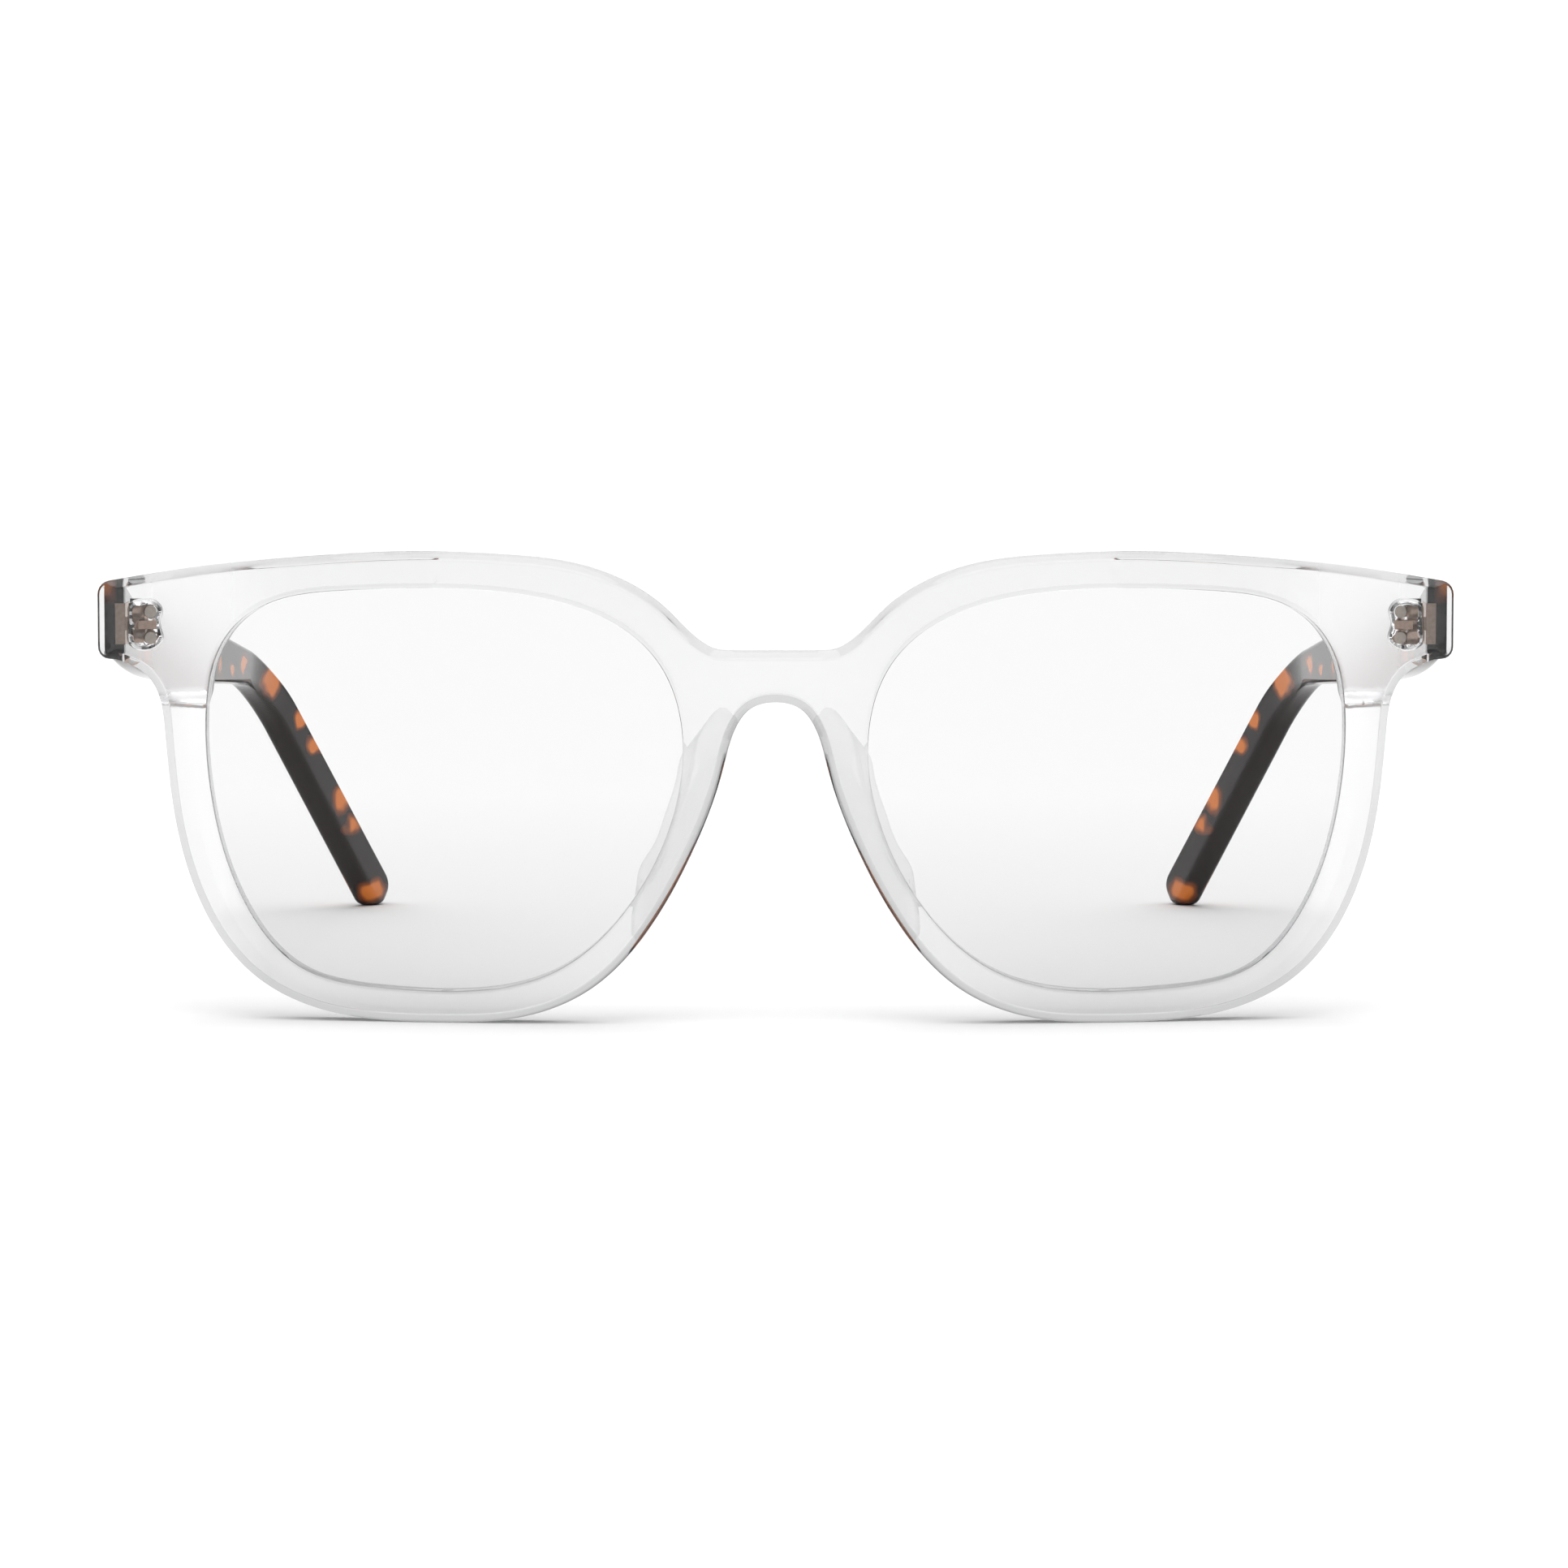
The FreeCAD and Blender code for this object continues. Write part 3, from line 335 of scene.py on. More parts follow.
def add_mesh(name, points, faces, sharp=SHARP):
    """A piece of the object from points in millimetres, with outward faces."""
    mesh = bpy.data.meshes.new(name)
    mesh.from_pydata([Vector(p) * MM for p in points], [], faces)
    work = bmesh.new()
    work.from_mesh(mesh)
    bmesh.ops.remove_doubles(work, verts=work.verts, dist=2e-7)
    bmesh.ops.recalc_face_normals(work, faces=work.faces)
    work.to_mesh(mesh)
    work.free()
    mesh.shade_smooth()
    mesh.set_sharp_from_angle(angle=sharp)
    piece = bpy.data.objects.new(name, mesh)
    bpy.context.scene.collection.objects.link(piece)
    return piece


def apply_modifiers(piece):
    """Keep the mesh that the piece's modifiers make, and drop the modifiers."""
    graph = bpy.context.evaluated_depsgraph_get()
    mesh = bpy.data.meshes.new_from_object(piece.evaluated_get(graph))
    piece.modifiers.clear()
    piece.data = mesh


def cut(piece, tool):
    """Take a closed tool out of a closed piece, and remove the tool."""
    change = piece.modifiers.new("cut", "BOOLEAN")
    change.operation = "DIFFERENCE"
    change.solver = "EXACT"
    change.object = tool
    apply_modifiers(piece)
    bpy.data.objects.remove(tool)


def soften(piece):
    """Let the large faces lead the shading, so that narrow edges stay crisp."""
    weigh = piece.modifiers.new("weigh", "WEIGHTED_NORMAL")
    weigh.keep_sharp = True
    weigh.weight = 90
    apply_modifiers(piece)
    return piece


def to_row(points):
    """From the front's own frame to the row frame."""
    return [(x, y + FRONT_Y, z) for x, y, z in points]


# ---------------------------------------------------------------- front

def hinge_hollow(shell, side):
    """The melted hollow around a front leaf: its mouth on the rear face, wall and uneven floor."""
    corners = [(side * (HINGE_X + x), HINGE_HEIGHT + z) for x, z in POCKET_EDGE]
    edge = spline(corners, closed=True, spacing=0.25)
    mouth = shell.ring(edge, BLOCK_BACK - BACK_CLEARANCE)
    last = mouth
    for depth, narrow in POCKET_WALL:
        wobble = [0.12 * noise.noise(Vector((x * 1.3, z * 1.3, depth))) for x, z in edge]
        ring = shell.ring(inset(edge, narrow), BLOCK_BACK - depth + np.array(wobble) * min(1, depth))
        shell.bridge(last, ring)
        last = ring

    def floor(x, z):
        return BLOCK_BACK - POCKET_DEPTH - 0.1 + 0.25 * noise.noise(Vector((x * 1.1, z * 1.1, 7.0)))

    shell.fill(last, [], floor, grid=0.3)
    return mouth


def front_piece():
    """The clear front, with its bevelled edge, lens openings, end pieces and hinge hollows."""
    shell = Shell()
    outline = front_outline()
    narrow = 1 - END_BEVEL * ease(np.abs(outline[:, 0]), HALF_WIDTH - NARROW_FROM, HALF_WIDTH - NARROW_TO)

    def outer_ring(inward, depth, from_rear=False):
        share = 1.0 if from_rear else narrow
        loop = inset(outline, inward * share)
        here = rear_depth(*loop.T) - depth if from_rear else bow(loop[:, 0]) + depth * share
        return shell.ring(loop, here)

    rings = [outer_ring(*pair) for pair in FRONT_BEVEL] + [outer_ring(*pair, True) for pair in REAR_ROUND]
    for one, two in zip(rings, rings[1:]):
        shell.bridge(one, two)

    front_holes, rear_holes = [], []
    for side in SIDES.values():
        opening = spline([(side * x, z) for x, z in APERTURE], closed=True)
        made = []
        for outward, depth in OPENING_FRONT:
            loop = inset(opening, -outward)
            made.append(shell.ring(loop, bow(loop[:, 0]) + depth))
        for outward, depth in OPENING_REAR:
            loop = inset(opening, -outward)
            made.append(shell.ring(loop, rear_depth(*loop.T) - depth))
        for one, two in zip(made, made[1:]):
            shell.bridge(one, two)
        front_holes.append(made[0])
        rear_holes.append(made[-1])
        rear_holes.append(hinge_hollow(shell, side))

    shell.fill(rings[0], front_holes, lambda x, z: bow(x))
    foot = np.array([(side * x, z) for side in SIDES.values()
                     for x in np.arange(60.0, 66.5, 0.4)
                     for z in np.arange(BLOCK_FOOT - 0.4, BLOCK_FOOT + FOOT_SLOPE + 0.6, 0.35)])
    shell.fill(rings[-1], rear_holes, rear_depth, extra=foot)
    piece = add_mesh("clear_front", to_row(shell.points), shell.faces)
    return soften(piece)


def lens_piece(side_name, side):
    """A bowed lens that fills the opening of its rim."""
    edge = inset(spline([(side * x, z) for x, z in APERTURE], closed=True), -LENS_BITE)
    shell = Shell()
    depths = (LENS_SETBACK, LENS_SETBACK + LENS_DEPTH)
    rings = [shell.ring(edge, bow(edge[:, 0]) + depth) for depth in depths]
    shell.bridge(*rings)
    for ring, depth in zip(rings, depths):
        shell.fill(ring, [], lambda x, z, depth=depth: bow(x) + depth, grid=LENS_GRID)
    return soften(add_mesh(f"clear_lens_{side_name}", to_row(shell.points), shell.faces))


def nose_pad(side_name, side):
    """A moulded pad: a slanted fin from the rim to a rounded crest near the face."""
    def even(points):
        path = spline([(side * x, z) for x, z in points], closed=True, spacing=0.05)
        at = np.linspace(0, len(path), PAD_POINTS, endpoint=False).astype(int)
        return path[at]

    foot, crest = even(PAD_FOOT), even(PAD_CREST)
    shell = Shell()
    rings = []
    for t in np.linspace(PAD_ROOT, PAD_SHOULDER, 12):
        rings.append(shell.ring(foot + (crest - foot) * t, PAD_FOOT_BACK + PAD_REACH * t))
    for turn in np.radians((20, 40, 60, 80)):
        t = PAD_SHOULDER + (1 - PAD_SHOULDER) * math.sin(turn)
        loop = inset(foot + (crest - foot) * t, PAD_ROUND * (1 - math.cos(turn)))
        rings.append(shell.ring(loop, PAD_FOOT_BACK + PAD_REACH * t))
    for one, two in zip(rings, rings[1:]):
        shell.bridge(one, two)
    for ring in (rings[0], rings[-1]):
        level = shell.points[ring[0]][1]
        shell.fill(ring, [], lambda x, z, level=level: level)
    return soften(add_mesh(f"nose_pad_{side_name}", to_row(shell.points), shell.faces, sharp=PAD_SHARP))


# ---------------------------------------------------------------- temples

def bend_point(radius, degrees):
    """A point of the bend over the ear, this far from its centre."""
    turn = math.radians(degrees)
    return np.array([BEND[0] + radius * math.sin(turn), BEND[1] + radius * math.cos(turn)])


def temple_stations():
    """Top and bottom edge of the temple, from the butt to the tip, seen from its side."""
    butt = BLOCK_BACK + BUTT_GAP - HINGE_BACK
    slope = math.radians(UNDER_SLOPE)
    lower_end = bend_point(BEND_RADIUS - HOOK_HALF, UNDER_SLOPE)
    under = [tuple(lower_end)] + UNDERSIDE_OF_ARM + [(butt, TEMPLE_BOTTOM)]
    lower = spline(under, (-math.cos(slope), math.sin(slope)), (-0.97, 0.24), spacing=0.5)[::-1]
    upper_end = bend_point(BEND_RADIUS + HOOK_HALF, TOP_SLOPE)
    upper_start = np.array([butt, TEMPLE_TOP])
    run = np.linspace(0, 1, len(lower))
    pairs = []
    for t in np.linspace(0, 1, ARM_RINGS):
        below = np.array([np.interp(t, run, lower[:, k]) for k in range(2)])
        pairs.append((upper_start + (upper_end - upper_start) * t, below))
    for t in np.linspace(0, 1, BEND_RINGS)[1:]:
        pairs.append((bend_point(BEND_RADIUS + HOOK_HALF, TOP_SLOPE + (HOOK_DROP - TOP_SLOPE) * t),
                      bend_point(BEND_RADIUS - HOOK_HALF, UNDER_SLOPE + (HOOK_DROP - UNDER_SLOPE) * t)))
    drop = math.radians(HOOK_DROP)
    ahead = np.array([math.cos(drop), -math.sin(drop)])
    across = np.array([math.sin(drop), math.cos(drop)])
    start = bend_point(BEND_RADIUS, HOOK_DROP)
    length = (start[1] - TIP_RADIUS) / math.sin(drop)
    for t in np.linspace(0, 1, HOOK_RINGS)[1:]:
        half = HOOK_HALF + (TIP_RADIUS - HOOK_HALF) * t
        middle = start + ahead * length * t
        pairs.append((middle + across * half, middle - across * half))
    centre = start + ahead * length
    for turn in np.radians(np.linspace(0, TIP_END, TIP_RINGS)[1:]):
        middle = centre + ahead * TIP_RADIUS * math.sin(turn)
        reach = across * TIP_RADIUS * math.cos(turn)
        pairs.append((middle + reach, middle - reach))
    return pairs


def plan_middle(back):
    """Sideways place of the temple's middle and its lean, seen from above."""
    angle = math.radians(TURN_ANGLE)
    tangent = TURN_RADIUS * math.tan(angle / 2)
    start = TURN_BACK - tangent
    middle = TEMPLE_INNER + TEMPLE_THICK / 2
    if back <= start:
        return middle, 0.0
    reach = TURN_RADIUS * math.sin(angle)
    if back < start + reach:
        lean = math.asin((back - start) / TURN_RADIUS)
        return middle - TURN_RADIUS * (1 - math.cos(lean)), lean
    past = back - start - reach
    return middle - TURN_RADIUS * (1 - math.cos(angle)) - past * math.tan(angle), angle


def rounded_section(height, thick):
    """Points round a rounded rectangle, as shares of its half height and half thickness."""
    radius = min(TEMPLE_ROUND, thick * 0.48, height * 0.48)
    section = []
    for corner, (a, b) in enumerate(((1, 1), (-1, 1), (-1, -1), (1, -1))):
        for k in range(6):
            turn = math.radians(90 * corner + 90 * k / 5)
            across = a * (thick / 2 - radius) + radius * math.cos(turn)
            up = b * (height / 2 - radius) + radius * math.sin(turn)
            section.append((across / (thick / 2), up / (height / 2)))
    return section


def temple_piece(side_name, side):
    """A temple swept along its arm and hook, with soft edges and a seat for its hinge leaf."""
    butt_skew = math.tan(math.radians(TOE_IN))
    points, faces, rings = [], [], []
    stations = temple_stations()
    tip_start = len(stations) - TIP_RINGS + 1
    for number, (upper, lower) in enumerate(stations):
        height = float(np.hypot(*(upper - lower)))
        shrink = 1.0
        if number >= tip_start:
            past = (number - tip_start + 1) / (TIP_RINGS - 0.5)
            shrink = max(0.35, math.sqrt(1 - past ** 3))
        trim = BUTT_EDGE if number == 0 else 0.0
        ring = []
        for across, up in rounded_section(height, TEMPLE_THICK * shrink):
            back, rise = (upper + lower) / 2 + (upper - lower) / 2 * up * (1 - 2 * trim / height)
            middle, lean = plan_middle(back)
            x = middle + across * (TEMPLE_THICK * shrink / 2 - trim) / math.cos(lean)
            if across > 0 and back < BUTT_TAPER:
                x -= BUTT_STEP * (1 - back / BUTT_TAPER) ** 2
            fade = max(0.0, 1 - number / SKEW_RINGS)
            ring.append(len(points))
            points.append((side * x, back - butt_skew * x * fade, rise))
        rings.append(ring)
    count = len(rings[0])
    for one, two in zip(rings, rings[1:]):
        faces += [(one[i], one[(i + 1) % count], two[(i + 1) % count], two[i]) for i in range(count)]
    faces += [tuple(rings[0]), tuple(reversed(rings[-1]))]
    piece = add_mesh(f"tortoise_temple_{side_name}", hinge_to_row(points, side), faces)
    cut(piece, leaf_seat(side_name, side))
    piece.data.shade_smooth()
    piece.data.set_sharp_from_angle(angle=SHARP)
    return soften(piece)


def hinge_to_row(points, side):
    """From a hinge's own frame to the row frame."""
    turn = side * math.radians(TOE_IN)
    c, s = math.cos(turn), math.sin(turn)
    return [(side * HINGE_X + x * c - y * s, FRONT_Y + HINGE_BACK + x * s + y * c, z) for x, y, z in points]


def leaf_seat(side_name, side):
    """The block that makes room for the temple leaf in the temple's inner face."""
    half = LEAF_HALF + LEAF_CLEAR
    lows = (TEMPLE_INNER - 1.0, -3.0, HINGE_HEIGHT - half)
    highs = (TEMPLE_INNER + LEAF_THICK + LEAF_CLEAR, LEAF_REACH + LEAF_CLEAR, HINGE_HEIGHT + half)
    points = [(side * (lows, highs)[i][0], (lows, highs)[j][1], (lows, highs)[k][2])
              for i in (0, 1) for j in (0, 1) for k in (0, 1)]
    faces = [(0, 1, 3, 2), (4, 6, 7, 5), (0, 4, 5, 1), (2, 3, 7, 6), (0, 2, 6, 4), (1, 5, 7, 3)]
    return add_mesh(f"leaf_seat_{side_name}", hinge_to_row(points, side), faces)


# ---------------------------------------------------------------- materials

class Paint:
    """A node material around one Principled shader."""

    def __init__(self, name, **values):
        self.material = bpy.data.materials.new(name)
        self.material.use_nodes = True
        self.tree = self.material.node_tree
        self.shader = self.tree.nodes["Principled BSDF"]
        for socket, value in values.items():
            self.shader.inputs[socket.replace("_", " ")].default_value = value
        self.coordinates = self.tree.nodes.new("ShaderNodeTexCoord")
        self.place = self.coordinates.outputs["Object"]

    def node(self, kind, *sources):
        """A new node with sockets or values on its first inputs."""
        node = self.tree.nodes.new(kind)
        for socket, source in zip(node.inputs, sources):
            if isinstance(source, bpy.types.NodeSocket):
                self.tree.links.new(source, socket)
            else:
                socket.default_value = source
        return node

    def drive(self, name, source):
        """Let a node's output set one of the shader's inputs."""
        self.tree.links.new(source, self.shader.inputs[name])

    def split(self, source):
        return self.node("ShaderNodeSeparateXYZ", source).outputs

    def normal(self):
        return self.split(self.coordinates.outputs["Normal"])

    def noise(self, scale, detail=3.0, place=None, output="Fac"):
        node = self.node("ShaderNodeTexNoise", self.place if place is None else place)
        node.inputs["Scale"].default_value = scale
        node.inputs["Detail"].default_value = detail
        return node.outputs[output]

    def maths(self, operation, *sources):
        node = self.node("ShaderNodeMath", *sources)
        node.operation = operation
        return node.outputs["Value"]

    def vector(self, operation, first, second, output="Vector"):
        node = self.node("ShaderNodeVectorMath", first, second)
        node.operation = operation
        return node.outputs[output]

    def ramp(self, source, stops):
        node = self.tree.nodes.new("ShaderNodeValToRGB")
        elements = node.color_ramp.elements
        while len(elements) < len(stops):
            elements.new(0.5)
        for element, (place, colour) in zip(elements, stops):
            element.position = place
            element.color = (*colour, 1)
        self.tree.links.new(source, node.inputs["Fac"])
        return node.outputs["Color"]

    def span(self, source, low, high):
        """A share from 0 to 1, moved to the range from low to high."""
        return self.node("ShaderNodeMapRange", source, 0.0, 1.0, low, high).outputs["Result"]

    def share(self, source, low, high):
        """How far a value is from low to high, from 0 to 1."""
        return self.node("ShaderNodeMapRange", source, low, high).outputs["Result"]

    def bump(self, source, distance, strength):
        node = self.tree.nodes.new("ShaderNodeBump")
        node.inputs["Distance"].default_value = distance
        node.inputs["Strength"].default_value = strength
        self.tree.links.new(source, node.inputs["Height"])
        self.drive("Normal", node.outputs["Normal"])


EDGE_PAINTED_SHADE = (0.42, 0.42, 0.43)      # painted shade on light that crosses an edge, a bevel or a face of the clear front, by the way the surface faces
BEVEL_PAINTED_SHADE = (0.54, 0.54, 0.545)
FACE_PAINTED_SHADE = (0.77, 0.77, 0.773)
LOW_SHADE = 0.88                    # painted shade: the rims are made a little greyer towards the ground
SHADE_TOP = 0.036
END_PAINTED_LIGHT = 0.12                     # painted light: the end pieces are made a little paler than the rims
END_START, END_FULL = 0.054, 0.059  # sideways, in metres as shaders have them
FROST_EDGE = (0.0672, 0.0662)
REAR_FROST = 0.34                   # the end pieces' rear faces are left as moulded, a little frosted
FROST_DEPTH = (10.2, 11.2)


def clear_plastic():
    """Clear acetate with painted shade: greyer where light crosses its bevels and edges, and greyer towards
    the bottom. Painted light makes the end pieces paler.
    """
    paint = Paint("clear_plastic", Transmission_Weight=1.0, IOR=1.49)
    place = paint.split(paint.place)
    facing = paint.maths("ABSOLUTE", paint.normal()["Y"])
    # painted shade: the more a surface faces sideways, the greyer it is
    painted_shade_by_facing = paint.ramp(facing, [(0.05, EDGE_PAINTED_SHADE), (0.4, BEVEL_PAINTED_SHADE), (0.8, BEVEL_PAINTED_SHADE), (0.95, FACE_PAINTED_SHADE)])
    width = paint.maths("ABSOLUTE", place["X"])
    beyond, within = paint.share(width, END_START, END_FULL), paint.share(width, *FROST_EDGE)
    outward = paint.maths("MULTIPLY", beyond, within)
    # painted shade, darker towards the ground
    low_painted_shade = paint.span(paint.share(place["Z"], 0.0, SHADE_TOP), LOW_SHADE, 1.0)
    # painted light on the end pieces, added to the painted shade
    level = paint.maths("ADD", low_painted_shade, paint.span(outward, 0.0, END_PAINTED_LIGHT))
    grey = paint.node("ShaderNodeCombineXYZ", level, level, level).outputs["Vector"]
    paint.drive("Base Color", paint.vector("MULTIPLY", painted_shade_by_facing, grey))
    rear = paint.share(place["Y"], *((FRONT_Y + depth) * MM for depth in FROST_DEPTH))
    frosted = paint.maths("MULTIPLY", paint.maths("MULTIPLY", outward, rear), REAR_FROST)
    polish = paint.span(paint.noise(260.0), 0.0, 0.04)
    paint.drive("Roughness", paint.maths("ADD", frosted, polish))
    paint.bump(paint.noise(90.0, 2.0), 0.00001, 0.35)
    return paint.material


def pad_plastic():
    """The pads are thin and clear: their edges show more than their faces. Their grey is painted shade."""
    # painted shade: a faint grey sheet, stronger at the edges
    paint = Paint("pad_plastic", Base_Color=(0.55, 0.55, 0.56, 1), Specular_IOR_Level=0.15, IOR=1.3)
    edge = paint.node("ShaderNodeLayerWeight", 0.35).outputs["Facing"]
    paint.drive("Alpha", paint.maths("MULTIPLY_ADD", edge, 0.2, 0.03))
    paint.drive("Roughness", paint.span(paint.noise(300.0), 0.15, 0.3))
    return paint.material


# painted shade: the lens colour darkens from its top towards the bottom
LENS_PAINTED_SHADE_LOW = (0.65, 0.65, 0.652)
LENS_HIGH = (0.80, 0.80, 0.80)


def lens_plastic():
    """Coated lenses reflect very little; painted shade makes them a little darker towards the bottom."""
    paint = Paint("lens_plastic", Transmission_Weight=1.0, IOR=1.12)
    height = paint.share(paint.split(paint.place)["Z"], 0.0, 0.048)
    paint.drive("Base Color", paint.ramp(height, [(0.05, LENS_PAINTED_SHADE_LOW), (0.5, LENS_HIGH)]))
    paint.drive("Roughness", paint.span(paint.noise(300.0), 0.0, 0.01))
    return paint.material


# Amber flecks inside the hooks, the same on both sides: (sideways, row Y, height, radius)
FLECKS = [(66.0, 13.0, 33.6, 0.8), (65.8, 22.6, 34.2, 1.1), (63.9, 37.5, 31.2, 1.6), (61.1, 45.0, 26.2, 1.1),
          (59.5, 49.0, 22.5, 1.2), (56.6, 55.3, 14.9, 1.5), (55.3, 58.0, 11.4, 1.2), (53.6, 64.2, 1.9, 1.6)]
FLECK_STRETCH = 0.42        # flecks run longer front to back, by one over this
FLECK_RAGGED = 0.0026       # metres that a fleck's edge wanders
FLECK_CELLS = 205.0         # scale of the scattered flecks elsewhere, and their share of a cell
FLECK_SHARE = 0.3
HOOK_START = 5.0            # row Y behind which the inner side has the listed flecks only
FAR = 9.0                   # a distance too long to make a fleck
TORTOISE_DARK = (0.011, 0.006, 0.005)
TORTOISE_BROWN = (0.24, 0.06, 0.014)
TORTOISE_AMBER = (0.80, 0.22, 0.03)


def tortoise():
    """Near-black brown acetate with amber flecks, mirrored from side to side."""
    paint = Paint("tortoise", IOR=1.34)
    place = paint.split(paint.place)
    mirror = paint.node("ShaderNodeCombineXYZ", paint.maths("ABSOLUTE", place["X"]),
                        place["Y"], place["Z"]).outputs["Vector"]
    swirl = paint.noise(300.0, 1.0, place=mirror, output="Color")
    centred = paint.vector("SUBTRACT", swirl, (0.5, 0.5, 0.5))
    moved = paint.vector("ADD", mirror, paint.vector("MULTIPLY", centred, (FLECK_RAGGED,) * 3))
    squash = paint.vector("MULTIPLY", moved, (1.0, FLECK_STRETCH, 1.0))

    cells = paint.node("ShaderNodeTexVoronoi", squash)
    cells.inputs["Scale"].default_value = FLECK_CELLS
    outward = paint.maths("MULTIPLY", paint.normal()["X"], paint.maths("SIGN", place["X"]))
    inside_hook = paint.maths("MULTIPLY", paint.maths("GREATER_THAN", place["Y"], HOOK_START * MM),
                              paint.maths("LESS_THAN", outward, 0.5))
    nearest = paint.maths("ADD", paint.maths("DIVIDE", cells.outputs["Distance"], FLECK_SHARE),
                          paint.maths("MULTIPLY", inside_hook, FAR))
    for x, y, z, radius in FLECKS:
        reach = paint.vector("DISTANCE", squash, (x * MM, y * MM * FLECK_STRETCH, z * MM), "Value")
        nearest = paint.maths("MINIMUM", nearest, paint.maths("DIVIDE", reach, radius * MM))
    stops = [(0.0, TORTOISE_AMBER), (0.34, TORTOISE_AMBER), (0.5, TORTOISE_BROWN), (0.72, TORTOISE_DARK)]
    paint.drive("Base Color", paint.ramp(paint.maths("DIVIDE", nearest, 2.0), stops))
    paint.drive("Roughness", paint.span(paint.noise(500.0), 0.06, 0.12))
    return paint.material


def metal(name, low, high, rough):
    """Brushed metal with a fine grain between two colours."""
    paint = Paint(name, Metallic=1.0)
    grain = paint.noise(2500.0, 4.0)
    paint.drive("Base Color", paint.ramp(grain, [(0.3, low), (0.7, high)]))
    paint.drive("Roughness", paint.span(grain, rough - 0.08, rough + 0.12))
    paint.bump(grain, 0.00002, 0.4)
    return paint.material


def use(piece, material):
    piece.data.materials.clear()
    piece.data.materials.append(material)


# ---------------------------------------------------------------- stage, light and camera

CAMERA_DISTANCE = 520.0     # in front of the front's foremost point
CAMERA_HEIGHT = 61.9
CAMERA_SIDE = 0.9
CAMERA_DOWN = 3.997         # degrees
CAMERA_LENS = 113.6
CAMERA_SENSOR = 36.0

FLOOR_HALF = 2.0            # the floor and its shading are in metres
# painted light and shade on the floor: pale in a lane, greyer towards the sides
FLOOR_PALE = (0.89, 0.89, 0.89)
FLOOR_PAINTED_SHADE = (0.6, 0.6, 0.603)
LANE_START = 0.75           # the painted pool of light, the palest lane, widens towards the back from this far in front
LANE_LEAST = 0.2
LANE_EDGES = (0.165, 0.75)  # where it begins and ends to fade, as shares of the way from its start

SURROUND = 0.1
BACKDROP = (0.80, 0.93, 1.12)       # rise of the white backdrop with the sky's Y, and its level
OVERHEAD = (0.35, 0.85, 1.8)        # the same for the soft box above, with the sky's Z

SUN_TILT = math.radians(12)
SUN_SPREAD = math.radians(40)
SUN_POWER = 0.5


def add_camera():
    data = bpy.data.cameras.new("camera")
    data.lens = CAMERA_LENS
    data.sensor_width = CAMERA_SENSOR
    data.clip_start, data.clip_end = 0.01, 20.0
    camera = bpy.data.objects.new("camera", data)
    camera.location = Vector((CAMERA_SIDE, FRONT_Y - CAMERA_DISTANCE, CAMERA_HEIGHT)) * MM
    camera.rotation_euler = (math.radians(90 - CAMERA_DOWN), 0, 0)
    bpy.context.scene.collection.objects.link(camera)
    bpy.context.scene.camera = camera


def add_floor():
    """A pale floor with painted shade: a little greyer towards both sides of a painted pool of light."""
    mesh = bpy.data.meshes.new("floor")
    corners = [(x * FLOOR_HALF, y * FLOOR_HALF, 0) for x, y in ((-1, -1), (1, -1), (1, 1), (-1, 1))]
    mesh.from_pydata(corners, [], [(0, 1, 2, 3)])
    floor = bpy.data.objects.new("floor", mesh)
    bpy.context.scene.collection.objects.link(floor)
    paint = Paint("floor", Roughness=0.9, Specular_IOR_Level=0.0)
    place = paint.split(paint.place)
    width = paint.maths("MAXIMUM", paint.maths("ADD", place["Y"], LANE_START), LANE_LEAST)
    aside = paint.maths("DIVIDE", paint.maths("ABSOLUTE", place["X"]), width)
    grain = paint.span(paint.noise(40.0), -0.02, 0.02)
    floor_painted_shade = paint.maths("ADD", paint.share(aside, *LANE_EDGES), grain)
    paint.drive("Base Color", paint.ramp(floor_painted_shade, [(0.0, FLOOR_PALE), (1.0, FLOOR_PAINTED_SHADE)]))
    use(floor, paint.material)


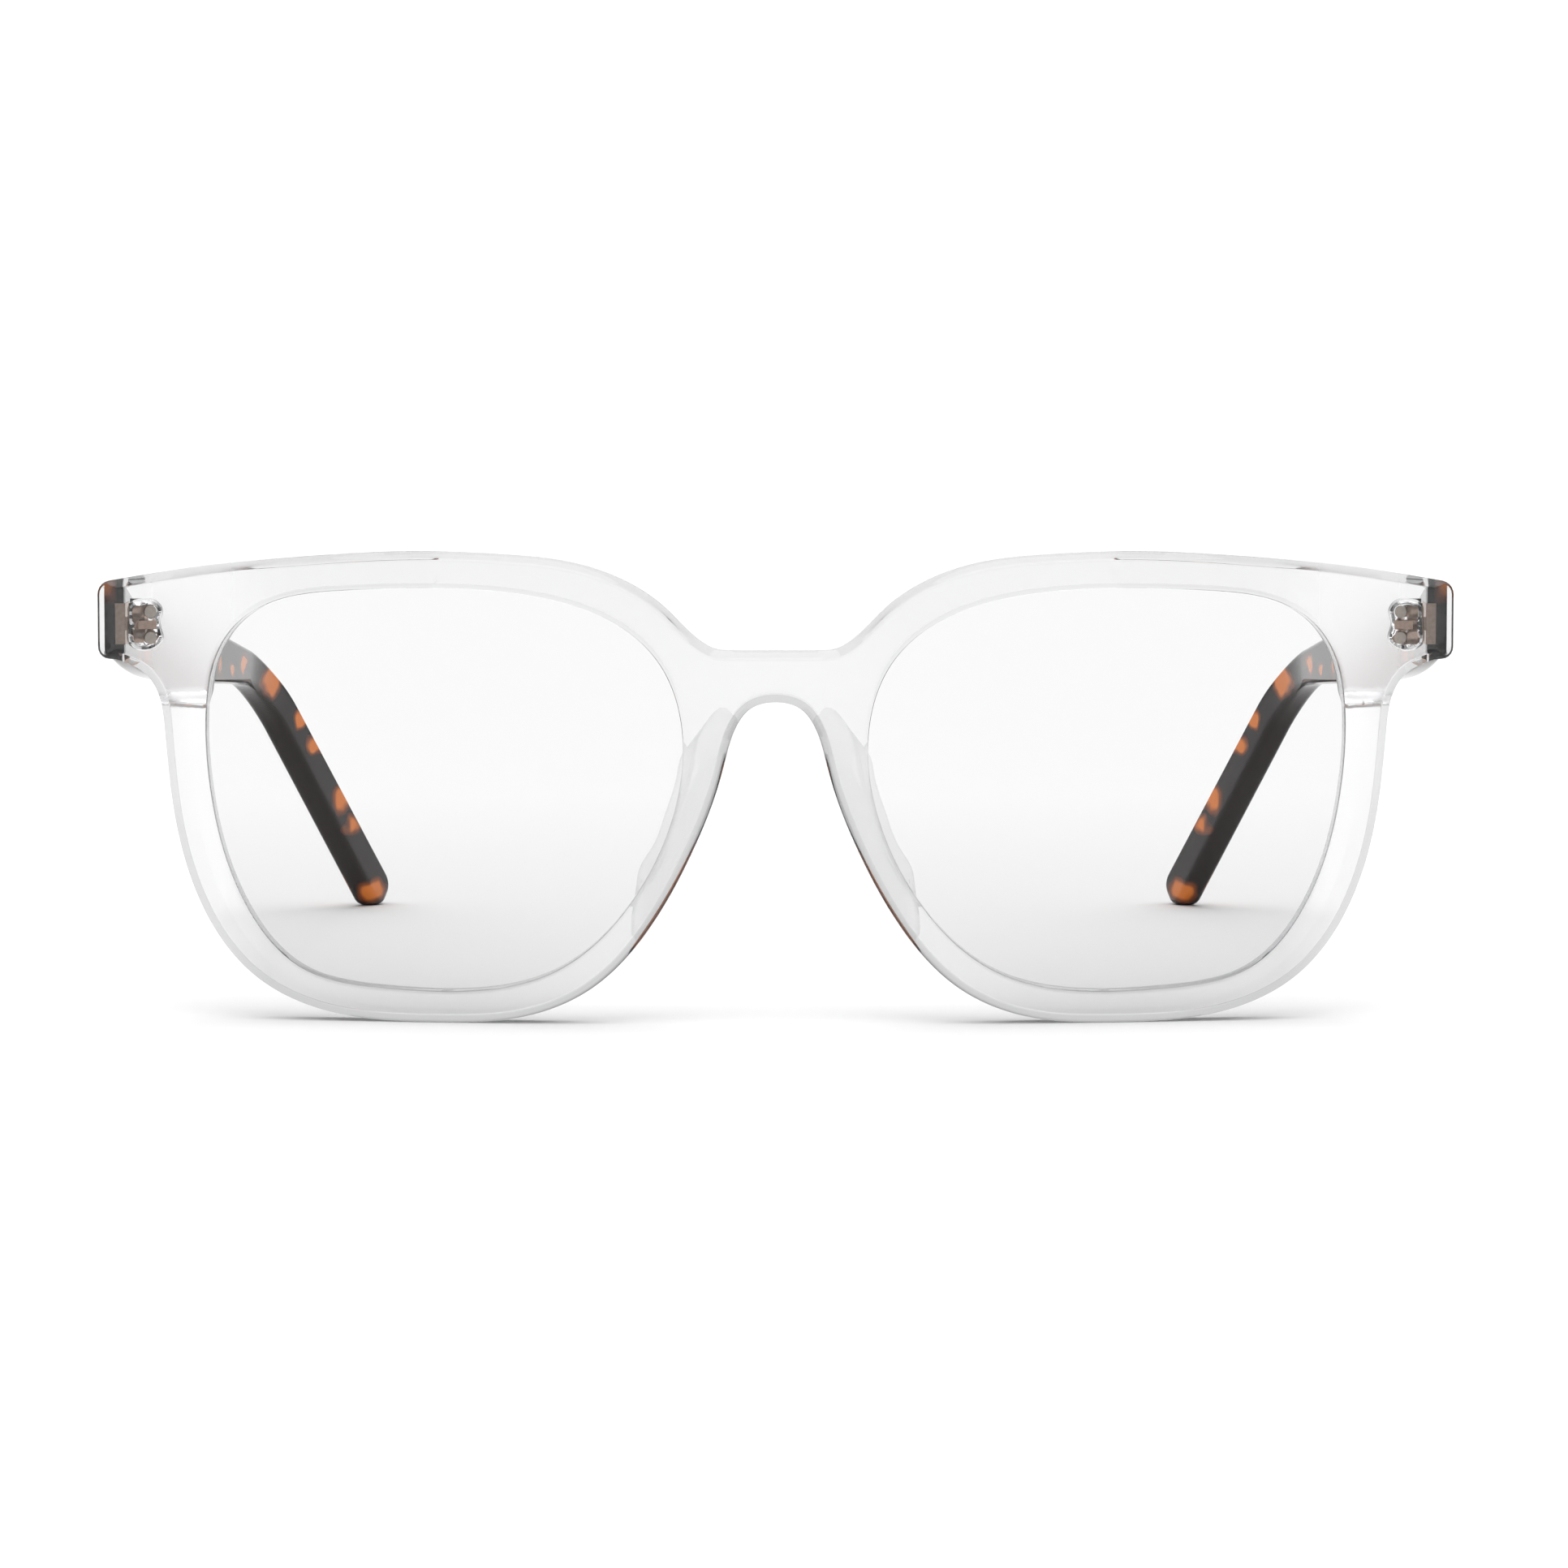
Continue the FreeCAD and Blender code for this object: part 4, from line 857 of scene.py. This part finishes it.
def add_world():
    """White behind and above, grey at the sides and in front, so that clear edges draw lines."""
    world = bpy.data.worlds.new("studio")
    bpy.context.scene.world = world
    world.use_nodes = True
    tree = world.node_tree
    direction = tree.nodes.new("ShaderNodeTexCoord").outputs["Generated"]
    split = tree.nodes.new("ShaderNodeSeparateXYZ")
    tree.links.new(direction, split.inputs["Vector"])
    brighter = tree.nodes.new("ShaderNodeMath")
    brighter.operation = "MAXIMUM"
    for axis, (low, high, level), socket in zip("YZ", (BACKDROP, OVERHEAD), brighter.inputs):
        share = tree.nodes.new("ShaderNodeMapRange")
        share.interpolation_type = "SMOOTHSTEP"
        for name, value in (("From Min", low), ("From Max", high), ("To Min", SURROUND), ("To Max", level)):
            share.inputs[name].default_value = value
        tree.links.new(split.outputs[axis], share.inputs["Value"])
        tree.links.new(share.outputs["Result"], socket)
    background = tree.nodes["Background"]
    background.inputs["Color"].default_value = (1, 1, 1, 1)
    tree.links.new(brighter.outputs["Value"], background.inputs["Strength"])


def add_sun():
    """A wide soft light from above, a little from the front."""
    data = bpy.data.lights.new("overhead", "SUN")
    data.energy = SUN_POWER
    data.angle = SUN_SPREAD
    light = bpy.data.objects.new("overhead", data)
    light.rotation_euler = (SUN_TILT, 0, 0)
    bpy.context.scene.collection.objects.link(light)


# ---------------------------------------------------------------- the scene

front = front_piece()
use(front, clear_plastic())
pads = [nose_pad(side_name, side) for side_name, side in SIDES.items()]
pale = pad_plastic()
for pad in pads:
    use(pad, pale)
for piece in [front] + pads:
    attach(piece, "front")
    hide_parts("front_frame")

glass = lens_plastic()
for side_name, side in SIDES.items():
    lens = lens_piece(side_name, side)
    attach(lens, "front")
    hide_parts(f"lens_{side_name}")
    use(lens, glass)

brown = tortoise()
for side_name, side in SIDES.items():
    arm = temple_piece(side_name, side)
    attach(arm, f"{side_name}_temple")
    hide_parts(f"temple_{side_name}")
    use(arm, brown)

FINISHES = {
    "hinge_metal": metal("rose_nickel_silver", (0.50, 0.37, 0.30), (0.62, 0.48, 0.40), 0.32),
    "pin_metal": metal("pin_nickel_silver", (0.52, 0.46, 0.41), (0.62, 0.56, 0.50), 0.35),
    "screw_steel": metal("turned_steel", (0.48, 0.48, 0.49), (0.62, 0.62, 0.62), 0.28),
    "core_steel": metal("drawn_steel", (0.40, 0.40, 0.41), (0.52, 0.52, 0.52), 0.4),
}
for part in frame["record"]["subparts"]:
    if part["material_slot"] in FINISHES:
        use(frame["nodes"][part["node"]], FINISHES[part["material_slot"]])

add_camera()
add_floor()
add_world()
add_sun()
bpy.context.scene.view_settings.view_transform = "Standard"
